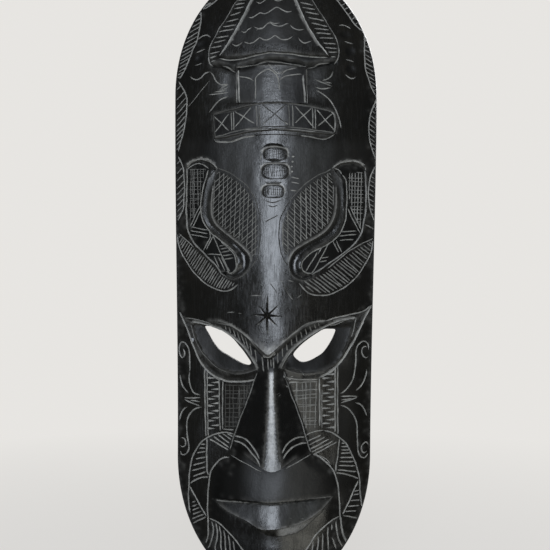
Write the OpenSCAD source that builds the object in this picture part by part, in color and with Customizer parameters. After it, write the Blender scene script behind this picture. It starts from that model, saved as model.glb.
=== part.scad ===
// Long oval carved wall mask with a D-ring strap hanger.
// +Z is up, the carved face looks towards -Y, and the back rim lies in the
// plane Y = 0. The origin is the point where the wall hook bears on the ring.

/* [Mask outline] */
// Height of the top end of the mask above the hanging point
top_z = 70; // [68:1:74]
// Height of the widest part of the upper end
shoulder_z = -35; // [-40:1:-30]
// Half the width across the shoulder
shoulder_r = 82.4; // [80:0.2:85]
// Height where the lower end starts to round off
jaw_z = -330; // [-335:1:-325]
// Half the width across the jaw
jaw_r = 78.7; // [77:0.1:80]
// Height of the bottom end of the mask
bottom_z = -440; // [-446:1:-436]

/* [Mask body] */
// Thickness of the rim where the carved face meets the edge
rim_t = 7; // [6:0.5:9]
// Wood left beside the carved-out back
wall_t = 11; // [10:0.5:13]
// Share of the cross-section that is a ridge, the rest is an arch
ridge_share = 0.45; // [0.35:0.01:0.55]
// Depth of the shallow recess that the hanger sits in
land_y = 8; // [7.5:0.1:9]
// How much deeper the back is carved out behind the face
hollow_deep = 17; // [12:0.5:19]

/* [Carved relief] */
// How far the roof of the carved house stands out
roof_h = 3.3; // [2:0.1:5]
// How far the balcony band stands out
band_h = 3; // [2:0.5:5]
// How far the cheeks and eyes lie below the brow
brow_step = 6; // [3:0.5:8]
// How much further the nose stands out at its tip than at its root
nose_h = 18.5; // [14:0.5:22]
// How far the mouth and chin stand out from the cheeks
muzzle_h = 8.6; // [5:0.1:10]

/* [Hanger] */
// Wire diameter of the ring
wire_d = 2.4; // [2.2:0.1:2.6]
// Half the distance between the two arms of the ring
ring_r = 10.8; // [10:0.1:12]
// Distance from the ring's pivot up to the hanging point
ring_up = 16; // [15:0.5:18]
// Width of the strap
strap_w = 12; // [11:0.5:14]
// Thickness of the strap
strap_t = 1; // [0.8:0.1:1.2]
// Running clearance between the ring and the rolled end of the strap
pivot_gap = 0.1; // [0.05:0.01:0.1]
// Shank diameter of the wood screws
screw_d = 3.2; // [2.8:0.1:3.4]
// Length of the wood screws below the head
screw_len = 14; // [12:1:16]
// Head diameter of the wood screws
head_d = 7; // [6:0.2:7.2]

/* [Hidden] */

pivot_y = -land_y + strap_t + pivot_gap + wire_d / 2;
pivot_z = -ring_up;
roll_r = wire_d / 2 + pivot_gap + strap_t;
screw_zs = [-28, -46];
strap_end = -54;

NU = 46;                 // cells across the face
NV = 84;                 // cells down the face
HU = 20;                 // cells across the hollow
HV = 34;                 // cells down the hollow

// ---- helpers ----------------------------------------------------------
function clamp01(v) = min(1, max(0, v));
function ss(a, b, v) = let (t = clamp01((v - a) / (b - a))) t * t * (3 - 2 * t);

// Half width of the outline at height z
function half_w(z) =
    z > shoulder_z ? shoulder_r * sqrt(max(0, 1 - pow((z - shoulder_z) / (top_z - shoulder_z), 2)))
    : z < jaw_z ? jaw_r * sqrt(max(0, 1 - pow((z - jaw_z) / (bottom_z - jaw_z), 2)))
    : jaw_r + (shoulder_r - jaw_r) * ss(0, 1, (z - jaw_z) / (shoulder_z - jaw_z));

// Height of the centre ridge above the wall, from top to bottom
function crown(z) = lookup(z, [
    [-440, 12], [-430, 22], [-415, 31], [-395, 37], [-370, 40], [-340, 40], [-300, 41],
    [-260, 44], [-220, 46], [-170, 45], [-120, 43], [-70, 40], [-30, 36], [0, 32],
    [25, 28], [45, 23], [60, 17], [70, 11]]);

// Cross-section from the rim (0) to the ridge (1)
function section(t) = let (e = 0.19, v = (sqrt(t * t + e * e) - e) / (sqrt(1 + e * e) - e))
    ridge_share * (1 - v) + (1 - ridge_share) * pow(max(0, 1 - t * t), 0.55);

// ---- relief ------------------------------------------------------------
// House roof: flared sides, eave at the bottom
function roof(x, z) = let (hw = 19 + 33 * pow(clamp01((60 - z) / 72), 1.2), c = -1.5)
    roof_h * ss(hw + 3, hw - 2, abs(x - c)) * ss(-19, -13, z + 0.0015 * pow(x - c, 2)) * ss(66, 50, z);

// House wall under the eave
function house(x, z) = 0.8 * ss(30, 27, abs(x + 3.5)) * ss(-50, -46, z) * ss(-12, -16, z);

// Balcony band, arched over its length
function band(x, z) = let (top = -46.5 - 0.0038 * x * x, c = -1)
    band_h * ss(51, 47, abs(x - c)) * ss(top + 3, top - 2, z) * ss(top - 28, top - 22, z);

// Oval boss number i of the three on the forehead
function boss(x, z) = let (zs = [-87.5, -101.5, -117])
    max([for (c = zs) 0.8 * ss(1.1, 0.6, norm([(x + 1.5) / 11, (z - c) / 6]))]);

// Lobe and channel beside the forehead, cut into the face on each side
// (s = -1 or 1) and deepest where the channel turns round the lobe's tip
function lobe(x, z, s) = let (u = s * x, cx = 59 - 14 * ss(-120, -205, z) - 8 * ss(-165, -205, z), d = abs(u - cx))
    -(2 + 1.6 * ss(-150, -185, z)) * ss(15, 11, d) * ss(-211, -200, z) * ss(-90, -97, z);

// Lower edge of the brow, a V that flattens out to each side
function brow_z(x) = let (u = sqrt(pow(x + 5, 2) + 5)) -247.5 + 28 * (1 - pow(clamp01(1 - u / 41), 1.6));

// Cheeks and eyes drop away below the brow
function below_brow(x, z) = brow_step * ss(brow_z(x) + 1.5, brow_z(x) - 2.5, z)
    * (1 - 0.75 * ss(42, 72, abs(x))) * (1 - ss(-290, -400, z));

// Dished eye: c is the centre, a the half length, b the half width, r the tilt
function dish(x, z, c, a, b, r) = let (
    u = ((x - c[0]) * cos(r) + (z - c[1]) * sin(r)) / a,
    v = (-(x - c[0]) * sin(r) + (z - c[1]) * cos(r)) / b,
    m = clamp01(1 - u * u))
    4.8 * sqrt(clamp01(1 - u * u - v * v / max(0.05, m)));

// Wedge nose: narrow ridge, flat sides, undercut tip
function nose(x, z) = let (
    u = clamp01((-256 - z) / 78),
    c = -2.7 + 1.2 * u,
    top = 1.9 + 5.4 * pow(u, 1.6),
    base = 10.5 + 22 * clamp01((-256 - z) / 66),
    low = -334.3 + 18.97 * (sqrt(pow(clamp01(abs(x - c) / 33), 2) + 0.0196) - 0.14),
    k = clamp01((base - abs(x - c)) / (base - top)))
    (5 + nose_h * pow(u, 1.05)) * k * ss(low - 3.5, low + 2, z) * ss(-247, -257, z);

// Mouth and chin stand forward of the cheeks
function muzzle(x, z) = let (
    hw = 52.5,
    topz = -325 - 10 * pow(clamp01(abs(x) / hw), 4))
    muzzle_h * pow(clamp01(1 - pow(abs(x - 0.5) / hw, 3)), 0.8) * ss(topz + 4, topz - 12, z) * ss(-440, -410, z);

// Upper lip leans out to the mouth line; the lower lip has a front facet and
// a short facet under it, and the chin sits further back
function mouth(x, z) = let (
    mz = -361 + 0.0022 * x * x,
    k = clamp01(1 - pow((x + 1.5) / 47.5, 2)),
    f = 19 * pow(k, 0.8) + 0.5,
    u = 7 * pow(k, 0.8) + 0.5,
    below = clamp01((mz - z) / 1.5))
    1.2 * k * ss(-336, -360, z) * (1 - below)
    + pow(k, 0.7) * (3.4 + 4.4 * clamp01((mz - z) / f)) * (1 - clamp01((mz - f - z) / u)) * below
    - 6.4 * below * ss(50, 16, abs(x - 1)) * (1 - 0.75 * ss(-384, -412, z));

// Height of the carved face above the wall
function face(x, z) = let (w = half_w(z), t = w > 0 ? min(1, abs(x) / w) : 1, c = crown(z),
    edge = 1 - ss(0.88, 1, t))
    rim_t + (c - rim_t) * section(t) + edge * (
        roof(x, z) + house(x, z) + band(x, z) + boss(x, z) + lobe(x, z, -1) + lobe(x, z, 1)
        - below_brow(x, z) + max(nose(x, z), muzzle(x, z) + mouth(x, z))
        - dish(x, z, [-41, -241], 31, 12, -36) - dish(x, z, [37, -238], 34, 12, 36));

// ---- the carved block ----------------------------------------------------
// Heights of the rows: close together at the two ends
row_z = [for (j = [0 : NV]) let (s = j / NV)
    s < 0.16 ? shoulder_z + (top_z - shoulder_z) * sin(83 * (1 - s / 0.16))
    : s > 0.84 ? jaw_z + (bottom_z - jaw_z) * sin(83 * (s - 0.84) / 0.16)
    : shoulder_z + (jaw_z - shoulder_z) * (s - 0.16) / 0.68];

// A closed solid between the plane y = y0 and a height field h over an outline
module relief_block(rows, nu, y0, hw, h) {
    nv = len(rows) - 1;
    n1 = nu + 1;
    front = [for (z = rows) for (i = [0 : nu]) let (x = hw(z) * (2 * i / nu - 1)) [x, -h(x, z), z]];
    rim = concat([for (i = [0 : nu]) i], [for (j = [1 : nv]) j * n1 + nu],
        [for (i = [nu - 1 : -1 : 0]) nv * n1 + i], [for (j = [nv - 1 : -1 : 1]) j * n1]);
    nr = len(rim);
    back = [for (k = rim) [front[k][0], y0, front[k][2]]];
    nf = len(front);
    polyhedron(
        points = concat(front, back),
        faces = concat(
            [for (j = [0 : nv - 1]) for (i = [0 : nu - 1]) each
                let (a = j * n1 + i, b = a + 1, c = a + n1, d = c + 1)
                (i < nu / 2) ? [[a, b, d], [a, d, c]] : [[a, b, c], [b, d, c]]],
            [for (k = [0 : nr - 1]) each let (m = (k + 1) % nr)
                [[rim[k], nf + k, nf + m], [rim[k], nf + m, rim[m]]]],
            [[for (k = [nr - 1 : -1 : 0]) nf + k]]),
        convexity = 6);
}

// Half width and depth of the carved-out back
function hollow_w(z) = let (m = half_w(z)) m - wall_t;
function hollow_d(x, z) = let (w = hollow_w(z), t = w > 0 ? min(1, abs(x) / w) : 1)
    land_y + (hollow_deep * ss(-64, -118, z) * ss(-418, -350, z)) * pow(clamp01(1 - pow(t, 2.4)), 0.7);
hollow_z = [for (j = [0 : HV]) let (s = j / HV)
    s < 0.16 ? shoulder_z + 87 * sin(74 * (1 - s / 0.16))
    : s > 0.84 ? jaw_z - 92 * sin(74 * (s - 0.84) / 0.16)
    : shoulder_z + (jaw_z - shoulder_z) * (s - 0.16) / 0.68];

// Outlines of the two eye slits, seen from the front
left_slit = [[-55, -224], [-48, -224.5], [-40.5, -228], [-33, -234], [-27, -240.5], [-22, -247.5],
    [-19.5, -252.5], [-22, -254.5], [-29, -251.5], [-36, -247.5], [-43, -243.5], [-48, -237], [-52, -230.5]];
right_slit = [[15, -245.5], [22.5, -236.5], [31, -230.5], [40, -225.5], [48.5, -225.5], [46.5, -233],
    [42.5, -239.5], [37, -246.5], [29.5, -250.5], [22, -252], [16, -249.5]];

module slit(pts) {
    translate([0, 2, 0]) rotate([90, 0, 0]) linear_extrude(height = 70) polygon(pts);
}

module mask_body() {
    color([0.11, 0.11, 0.11]) difference() {
        relief_block(row_z, NU, 0, function (z) half_w(z), function (x, z) face(x, z));
        translate([0, 1, 0])
            relief_block(hollow_z, HU, 0, function (z) hollow_w(z), function (x, z) hollow_d(x, z) + 1);
        slit(left_slit);
        slit(right_slit);
        for (z = screw_zs) translate([0, -land_y + 1, z]) rotate([90, 0, 0])
            cylinder(h = screw_len + 2, d = screw_d + 0.1, $fn = 48);
    }
}

// ---- hanger ----------------------------------------------------------------
module hanger_strap() {
    color([0.62, 0.60, 0.56]) difference() {
        union() {
            translate([-strap_w / 2, pivot_y, pivot_z]) rotate([0, 90, 0]) cylinder(h = strap_w, r = roll_r, $fn = 64);
            translate([-strap_w / 2, -land_y, strap_end + strap_w / 2])
                cube([strap_w, strap_t, pivot_z - strap_end - strap_w / 2]);
            translate([0, -land_y + strap_t, strap_end + strap_w / 2]) rotate([90, 0, 0])
                cylinder(h = strap_t, d = strap_w, $fn = 64);
        }
        translate([-strap_w / 2 - 1, pivot_y, pivot_z]) rotate([0, 90, 0])
            cylinder(h = strap_w + 2, r = wire_d / 2 + pivot_gap, $fn = 64);
        for (z = screw_zs) translate([0, -land_y + strap_t + 1, z]) rotate([90, 0, 0])
            cylinder(h = strap_t + 2, d = screw_d + 0.6, $fn = 48);
    }
}

module hanger_ring() {
    bend = 3;
    top_c = ring_up + wire_d / 2 - ring_r;
    color([0.70, 0.69, 0.66]) translate([0, pivot_y, pivot_z]) {
        translate([-ring_r + bend, 0, 0]) rotate([0, 90, 0]) cylinder(h = 2 * (ring_r - bend), d = wire_d, $fn = 48);
        for (s = [-1, 1]) {
            translate([s * (ring_r - bend), 0, bend]) rotate([90, 0, 0]) rotate([0, 0, s > 0 ? 270 : 180])
                rotate_extrude(angle = 90, $fn = 64) translate([bend, 0]) circle(d = wire_d, $fn = 48);
            translate([s * ring_r, 0, bend]) cylinder(h = top_c - bend, d = wire_d, $fn = 48);
        }
        translate([0, 0, top_c]) rotate([90, 0, 0])
            rotate_extrude(angle = 180, $fn = 96) translate([ring_r, 0]) circle(d = wire_d, $fn = 48);
    }
}

// Round-head wood screw with its head resting on the strap
module wood_screw(z) {
    color([0.72, 0.62, 0.38]) translate([0, -land_y + strap_t, z]) rotate([90, 0, 0]) difference() {
        union() {
            cylinder(h = screw_len - 3.5, d = screw_d, $fn = 48);
            translate([0, 0, screw_len - 3.5]) cylinder(h = 3.5, d1 = screw_d, d2 = 0.6, $fn = 48);
            translate([0, 0, -2.2]) rotate_extrude($fn = 64) polygon(concat(
                [[0, 0]], [for (a = [15 : 15 : 90]) [head_d / 2 * sin(a), 2.2 * (1 - cos(a))]], [[0, 2.2]]));
        }
        translate([-head_d, -0.45, -3]) cube([2 * head_d, 0.9, 2]);
    }
}
module strap_screw_upper() wood_screw(screw_zs[0]);
module strap_screw_lower() wood_screw(screw_zs[1]);

mask_body();
hanger_strap();
hanger_ring();
strap_screw_upper();
strap_screw_lower();
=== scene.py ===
import math

import bpy
import numpy as np
from mathutils import Matrix, Vector, kdtree
from mathutils.geometry import delaunay_2d_cdt


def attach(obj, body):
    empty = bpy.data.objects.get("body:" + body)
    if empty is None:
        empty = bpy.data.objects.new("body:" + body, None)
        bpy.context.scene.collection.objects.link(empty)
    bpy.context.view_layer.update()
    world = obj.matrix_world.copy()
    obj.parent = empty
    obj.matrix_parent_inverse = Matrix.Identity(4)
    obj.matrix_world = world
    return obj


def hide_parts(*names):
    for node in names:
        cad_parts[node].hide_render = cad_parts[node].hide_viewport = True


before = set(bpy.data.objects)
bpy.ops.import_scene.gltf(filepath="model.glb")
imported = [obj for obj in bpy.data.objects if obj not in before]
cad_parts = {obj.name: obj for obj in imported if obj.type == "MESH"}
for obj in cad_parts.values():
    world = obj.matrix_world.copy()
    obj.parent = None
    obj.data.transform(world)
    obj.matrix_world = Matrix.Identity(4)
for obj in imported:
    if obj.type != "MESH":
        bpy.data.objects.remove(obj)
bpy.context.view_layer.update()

# Everything below works in millimetres in the CAD frame (X right, Y into the
# wall, Z up) and is scaled to metres when a mesh is made.
RNG = np.random.default_rng(7)

# ---------------------------------------------------------------------------
# Big forms of the carved face, the same ones the CAD solid has
# ---------------------------------------------------------------------------
TOP_Z, SHOULDER_Z, SHOULDER_R = 70.0, -35.0, 82.4
JAW_Z, JAW_R, BOTTOM_Z = -330.0, 78.7, -440.0
RIM_T, WALL_T, RIDGE, LAND, DEEP = 7.0, 11.0, 0.45, 8.0, 17.0


def ss(a, b, v):
    t = np.clip((v - a) / (b - a), 0, 1)
    return t * t * (3 - 2 * t)


def c01(v):
    return np.clip(v, 0, 1)


def half_w(z):
    z = np.asarray(z, float)
    up = SHOULDER_R * np.sqrt(np.maximum(0, 1 - ((z - SHOULDER_Z) / (TOP_Z - SHOULDER_Z)) ** 2))
    lo = JAW_R * np.sqrt(np.maximum(0, 1 - ((z - JAW_Z) / (BOTTOM_Z - JAW_Z)) ** 2))
    mid = JAW_R + (SHOULDER_R - JAW_R) * ss(0, 1, (z - JAW_Z) / (SHOULDER_Z - JAW_Z))
    return np.where(z > SHOULDER_Z, up, np.where(z < JAW_Z, lo, mid))


CROWN = np.array([
    [-440, 12], [-430, 22], [-415, 31], [-395, 37], [-370, 40], [-340, 40], [-300, 41],
    [-260, 44], [-220, 46], [-170, 45], [-120, 43], [-70, 40], [-30, 36], [0, 32],
    [25, 28], [45, 23], [60, 17], [70, 11]], float)


def smooth_table(tab):
    """Monotone cubic through the given heights, so the profile has no kinks."""
    x, y = tab[:, 0], tab[:, 1]
    h = np.diff(x)
    s = np.diff(y) / h
    m = np.zeros(len(x))
    m[0], m[-1] = s[0], s[-1]
    for i in range(1, len(x) - 1):
        if s[i - 1] * s[i] > 0:
            w1, w2 = 2 * h[i] + h[i - 1], h[i] + 2 * h[i - 1]
            m[i] = (w1 + w2) / (w1 / s[i - 1] + w2 / s[i])

    def f(v):
        v = np.clip(v, x[0], x[-1])
        i = np.clip(np.searchsorted(x, v) - 1, 0, len(x) - 2)
        t = (v - x[i]) / h[i]
        return ((2 * t ** 3 - 3 * t ** 2 + 1) * y[i] + (t ** 3 - 2 * t ** 2 + t) * h[i] * m[i]
                + (-2 * t ** 3 + 3 * t ** 2) * y[i + 1] + (t ** 3 - t ** 2) * h[i] * m[i + 1])
    return f


crown = smooth_table(CROWN)


def section(t):
    e = 0.19
    v = (np.sqrt(t * t + e * e) - e) / (math.sqrt(1 + e * e) - e)
    return RIDGE * (1 - v) + (1 - RIDGE) * np.maximum(0, 1 - t * t) ** 0.55


def base(x, z):
    w = np.maximum(half_w(z), 0.01)
    t = np.minimum(1, np.abs(x) / w)
    c = crown(z)
    return RIM_T + (c - RIM_T) * section(t)


def rim_fade(x, z):
    w = np.maximum(half_w(z), 0.01)
    return 1 - ss(0.90, 1, np.minimum(1, np.abs(x) / w))


def brow_z(x):
    u = np.sqrt((x + 5) ** 2 + 5.0)
    return -247.5 + 28 * (1 - c01(1 - u / 41) ** 1.6)


BROW_STEP = 6.0


def below_brow(x, z):
    bz = brow_z(x)
    t = c01((bz + 0.3 - z) / 5.6)
    return BROW_STEP * (t - 0.12 * np.sin(2 * np.pi * t) / 2) * (1 - 0.75 * ss(42, 72, np.abs(x))) * (1 - ss(-290, -400, z))


def nose_c(z):
    return -2.7 + 1.2 * c01((-256 - z) / 78)


def nose_low(x, z):
    """Height of the nose's lower outline at x."""
    c = nose_c(-330.0)
    return -334.3 + 18.97 * (np.sqrt(c01(np.abs(x - c) / 33) ** 2 + 0.0196) - 0.14)


def nose_wedge(x, z):
    c = nose_c(z)
    u = c01((-256 - z) / 78)
    top = 1.9 + 5.4 * u ** 1.6
    out = 10.5 + 22.0 * c01((-256 - z) / 66)
    ax = np.abs(x - c)
    k = c01((out - ax) / (out - top))
    ridge = 5 + 18.5 * u ** 1.05
    h = ridge * k
    # the ridge is a narrow, slightly crowned strip
    h = h - 0.5 * u * c01(ax / np.maximum(top, 0.1)) ** 2 * (k > 0.01)
    low = nose_low(x, z)
    return h * ss(low - 1.6, low + 0.6, z) * ss(-247, -257, z)


MUZZLE = np.array([
    (-36, -327), (-43, -330.5), (-47.5, -335), (-50, -343.5), (-51.5, -356), (-51.8, -372.5), (-52.2, -391),
    (-52, -402), (-46, -412), (-38, -424), (-24, -434), (0, -441), (24, -434), (40, -424), (48, -412),
    (55, -402), (55.5, -391), (53, -372.5), (52.5, -360), (50.5, -346), (47, -336), (41, -329), (34.5, -325.5),
    (26, -316), (12, -302), (-3, -297), (-18, -302), (-31, -317)], float)
UNIT, EYE, EYE_Z = 0.82, 800.0, -182.6


def P(text):
    return [tuple(float(v) for v in p.split(",")) for p in text.split()]


def lay_on(pts, depth):
    """Carries points of the drawing onto a surface, as seen from the eye point."""
    a = np.asarray(pts, float)
    cx = 276.6 - 3.2 * a[:, 1] / 549
    xa, za = UNIT * (a[:, 0] - cx), 42.94 - UNIT * a[:, 1]
    x, z = xa.copy(), za.copy()
    for _ in range(5):
        f = (EYE - depth(x, z)) / (EYE - 7)
        x, z = xa * f, EYE_Z + (za - EYE_Z) * f
    return np.stack([x, z], 1)


def plain(x, z):
    return base(x, z) - 4 + 8.6 * np.maximum(0, 1 - (np.abs(x - 1) / 57.0) ** 2.0) ** 0.75


LIP_TOP = lay_on(P("212.5,498.3 225,499.4 240,500.9 255,502.4 268,503.4 275,503.2 290,501.6 310,499.2 331.5,496.8"), plain)
LIP_LOW = lay_on(P("212.5,498.3 220,504 228,509.8 240,516.6 246,519 252,523.4 258,527 264,528.4 275,527.8 283,526.4 295,524 305,519.6 312,515.4 322,507.6 331.5,496.8"), plain)
LIP_UND = lay_on(P("212.5,498.3 219.5,504.8 227.5,511.2 239.5,518.4 245.3,521.4 251,526 257,530.2 262,533.6 268,536.8 276,537.6 285,537 297,533.8 303.5,529.8 309,524.5 315,518.5 323,510.5 331.5,496.8"), plain)
LOWLIP = np.vstack([LIP_TOP, LIP_LOW[::-1][1:-1]])
UNDLIP = np.vstack([LIP_LOW, LIP_UND[::-1][1:-1]])
CREASE = LIP_TOP


def seg_dist2(px, pz, a, b):
    dx, dz = b[0] - a[0], b[1] - a[1]
    l2 = dx * dx + dz * dz + 1e-12
    t = np.clip(((px - a[0]) * dx + (pz - a[1]) * dz) / l2, 0, 1)
    ex, ez = px - (a[0] + t * dx), pz - (a[1] + t * dz)
    return ex * ex + ez * ez, t


def path_dist(path, x, z, reach=14.0):
    """Distance to an open path (clamped to reach)."""
    path = np.asarray(path, float)
    x = np.asarray(x, float)
    z = np.asarray(z, float)
    out = np.full(x.shape, reach * reach)
    lo, hi = path.min(0) - reach, path.max(0) + reach
    m = (x > lo[0]) & (x < hi[0]) & (z > lo[1]) & (z < hi[1])
    if not m.any():
        return np.sqrt(out)
    xs, zs = x[m], z[m]
    o = np.full(xs.shape, reach * reach)
    for a, b in zip(path[:-1], path[1:]):
        d, _ = seg_dist2(xs, zs, a, b)
        o = np.minimum(o, d)
    out[m] = o
    return np.sqrt(out)


def inside(poly, x, z):
    r = np.zeros(x.shape, bool)
    n = len(poly)
    for i in range(n):
        x1, z1 = poly[i]
        x2, z2 = poly[(i + 1) % n]
        if z1 == z2:
            continue
        c = (z1 > z) != (z2 > z)
        xi = (x2 - x1) * (z - z1) / (z2 - z1) + x1
        r ^= c & (x < xi)
    return r


def sd(poly, x, z, reach=14.0):
    """Signed distance to a closed outline, positive inside, clamped to reach."""
    poly = np.asarray(poly, float)
    x = np.asarray(x, float)
    z = np.asarray(z, float)
    d = path_dist(np.vstack([poly, poly[:1]]), x, z, reach)
    lo, hi = poly.min(0), poly.max(0)
    m = (x >= lo[0]) & (x <= hi[0]) & (z >= lo[1]) & (z <= hi[1])
    s = np.zeros(x.shape, bool)
    s[m] = inside(poly, x[m], z[m])
    return np.where(s, d, -d)


def muzzle(x, z):
    s = sd(MUZZLE, x, z, 30.0)
    lat = np.maximum(0, 1 - (np.abs(x - 1) / 57.0) ** 2.0) ** 0.75
    env = 1 - (1 - c01(s / 12.0)) ** 2
    dome = 8.6 * lat * env * ss(-441, -410, z)
    # the upper lip leans out towards the mouth line
    mouth = np.interp(x, LIP_TOP[:, 0], LIP_TOP[:, 1])
    bow = 0.7 * ss(-336, -360, z) * lat * ss(0, 8, s)
    # below the mouth the chin sits further back and comes forward again
    under = c01((mouth - z) / 0.7) * ss(50, 16, np.abs(x - 1))
    chin = 6.4 * under * (1 - 0.75 * ss(-384, -412, z))
    return dome + bow * (1 - under) - chin


def lips(x, z):
    sf, su = sd(LOWLIP, x, z, 14.0), sd(UNDLIP, x, z, 14.0)
    dt, dl, du = path_dist(LIP_TOP, x, z, 30.0), path_dist(LIP_LOW, x, z, 30.0), path_dist(LIP_UND, x, z, 30.0)
    full = np.maximum(0, 1 - (np.abs(x + 1.5) / 47.5) ** 2) ** 0.7
    r = dt / (dt + dl + 1e-6)
    r2 = dl / (dl + du + 1e-6)
    lip = np.where(sf >= 0, 3.4 + 4.4 * r, np.where(su >= 0, 7.8 * (1 - r2), 0.0))
    gap = np.exp(-(dt / 0.95) ** 2) * (0.5 + 1.9 * ss(46, 14, np.abs(x - 1)))
    return lip * full - gap


def form(x, z):
    """Height of the carved face above the wall, without the finer relief."""
    x = np.asarray(x, float)
    z = np.asarray(z, float)
    f = rim_fade(x, z)
    add = -below_brow(x, z) + np.maximum(nose_wedge(x, z), muzzle(x, z) + lips(x, z))
    return base(x, z) + f * add


# ---------------------------------------------------------------------------
# Drawing of the carved pattern: 1 drawing unit is 0.82 mm on the rim plane,
# origin at the upper left, and the drawing is laid on the curved face as it
# is seen from a point 0.8 m in front of the wall.
# ---------------------------------------------------------------------------
def lay(pts):
    return lay_on(pts, form)


def spline(pts, step, closed=False):
    """Catmull-Rom through given points, resampled to an even step."""
    p = np.asarray(pts, float)
    if len(p) == 2 and not closed:
        n = max(1, int(round(np.linalg.norm(p[1] - p[0]) / step)))
        t = np.linspace(0, 1, n + 1)[:, None]
        return p[0] * (1 - t) + p[1] * t
    q = np.vstack([p[-1:], p, p[:2]]) if closed else np.vstack([2 * p[0] - p[1], p, 2 * p[-1] - p[-2]])
    out = []
    for i in range(1, len(q) - 2):
        a, b, c, d = q[i - 1], q[i], q[i + 1], q[i + 2]
        for t in np.linspace(0, 1, 9)[:-1]:
            out.append(0.5 * (2 * b + (c - a) * t + (2 * a - 5 * b + 4 * c - d) * t * t + (3 * b - a - 3 * c + d) * t ** 3))
    out.append(q[-2] if not closed else out[0])
    out = np.array(out)
    seg = np.r_[0, np.cumsum(np.linalg.norm(np.diff(out, axis=0), axis=1))]
    n = max(2 if not closed else 8, int(round(seg[-1] / step)))
    s = np.linspace(0, seg[-1], n + 1)
    r = np.stack([np.interp(s, seg, out[:, k]) for k in (0, 1)], 1)
    return r[:-1] if closed else r


def clip_line(poly, a, d):
    """Pieces of the infinite line a + t d inside a polygon."""
    ts = []
    n = len(poly)
    for i in range(n):
        p, q = poly[i], poly[(i + 1) % n]
        e = (q[0] - p[0], q[1] - p[1])
        den = d[0] * e[1] - d[1] * e[0]
        if abs(den) < 1e-9:
            continue
        t = ((p[0] - a[0]) * e[1] - (p[1] - a[1]) * e[0]) / den
        u = ((p[0] - a[0]) * d[1] - (p[1] - a[1]) * d[0]) / den
        if 0 <= u < 1:
            ts.append(t)
    ts.sort()
    return [(ts[i], ts[i + 1]) for i in range(0, len(ts) - 1, 2)]


# Paleness above about 1 marks a painted highlight on a few cuts; over the centre sheen it is lowered as painted shade.
STROKES = []      # (points in drawing units, width, taper_in, taper_out, depth ratio, how pale the cut is)


def cut(text, w=1.35, t=2.5, t2=None, k=0.62, c=1.0):
    pts = P(text) if isinstance(text, str) else list(text)
    STROKES.append((pts, w, t, t if t2 is None else t2, k, c))


def cuts(text, **kw):
    for line in text.strip().splitlines():
        line = line.strip()
        if line:
            cut(line, **kw)


def hatch(poly, angle, gap, w=1.0, inset=0.8, jitter=0.18, phase=0.0, t=1.2, k=0.6, wander=1.2, c=0.9):
    """Hand-spaced parallel cuts across an outline, in drawing units (angle in degrees, 0 = to the right, 90 = up)."""
    poly = [tuple(p) for p in poly]
    o0 = np.mean(poly, 0)
    r = math.radians(-angle)
    d = (math.cos(r), math.sin(r))
    nrm = (-d[1], d[0])
    span = max(abs((p[0] - o0[0]) * nrm[0] + (p[1] - o0[1]) * nrm[1]) for p in poly)
    v = -span + gap * (0.5 + phase)
    while v < span:
        o = v + gap * jitter * RNG.normal()
        rr = r + math.radians(wander) * RNG.normal()
        dd = (math.cos(rr), math.sin(rr))
        a = (o0[0] + nrm[0] * o, o0[1] + nrm[1] * o)
        for t0, t1 in clip_line(poly, a, dd):
            if t1 - t0 > 2 * inset + 1.5:
                i0, i1 = inset * (0.6 + 0.8 * RNG.random()), inset * (0.6 + 0.8 * RNG.random())
                p0 = (a[0] + dd[0] * (t0 + i0), a[1] + dd[1] * (t0 + i0))
                p1 = (a[0] + dd[0] * (t1 - i1), a[1] + dd[1] * (t1 - i1))
                STROKES.append(([p0, p1], w * (0.85 + 0.3 * RNG.random()), t, t, k, c * (0.75 + 0.35 * RNG.random())))
        v += gap


def between(left, right, n0, n1, count, w=1.1, t=1.5, jitter=0.12, k=0.62, sag=0.0, inset=0.0):
    """Rungs between two drawn lines, from share n0 to n1 along each."""
    L, R = spline(P(left), 1.0), spline(P(right), 1.0)
    for i in range(count):
        s = (i + 0.5 + jitter * RNG.normal()) / count
        a = L[int(np.clip((n0[0] + (n0[1] - n0[0]) * s) * (len(L) - 1), 0, len(L) - 1))]
        b = R[int(np.clip((n1[0] + (n1[1] - n1[0]) * s) * (len(R) - 1), 0, len(R) - 1))]
        a, b = a + (b - a) * inset, b - (b - a) * inset
        m = (a + b) / 2 + np.array([0, sag])
        STROKES.append(([tuple(a), tuple(m), tuple(b)], w * (0.85 + 0.3 * RNG.random()), t, t, k, 0.95))


# --- border scallops ---------------------------------------------------------
SC_A = "243,-26 232,-19 224,-10 217,0 207,8 201,10"
SC_B = "201,11 201,20 200,28 198.5,35 196,44 193,50 188,63 185,70 179.5,79.5"
SC_C = "178.5,82 182,87 185,93 187,100 187,108 186,118 184.5,128 182,138 178.3,152"
SC_D = "178,157 180.5,161 183,168 184,176 184.5,186 184,200 183,210 178,221.5"
SC_A2 = "310,-25 322,-17 330,-9 337,0 341,5 347,13 353,22 359,28 363,31.5"
SC_B2 = "364,33 364.5,45 364.5,58 366,70 369,80 372,88 375,94.5"
SC_C2 = "376,99 373,107 370,115 369,125 369,135 370.5,143 373,152 376,160"
SC_D2 = "376,164 373,170 370,178 368.5,188 368.5,198 370,208 374.5,222"
for s in (SC_A, SC_B, SC_C, SC_D, SC_A2, SC_B2, SC_C2, SC_D2):
    cut(s, w=1.4, t=3)


def edge_x(y, side):
    z = 42.94 - UNIT * y
    cx = 276.6 - 3.2 * y / 549
    return cx + side * float(half_w(z)) / UNIT


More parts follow.
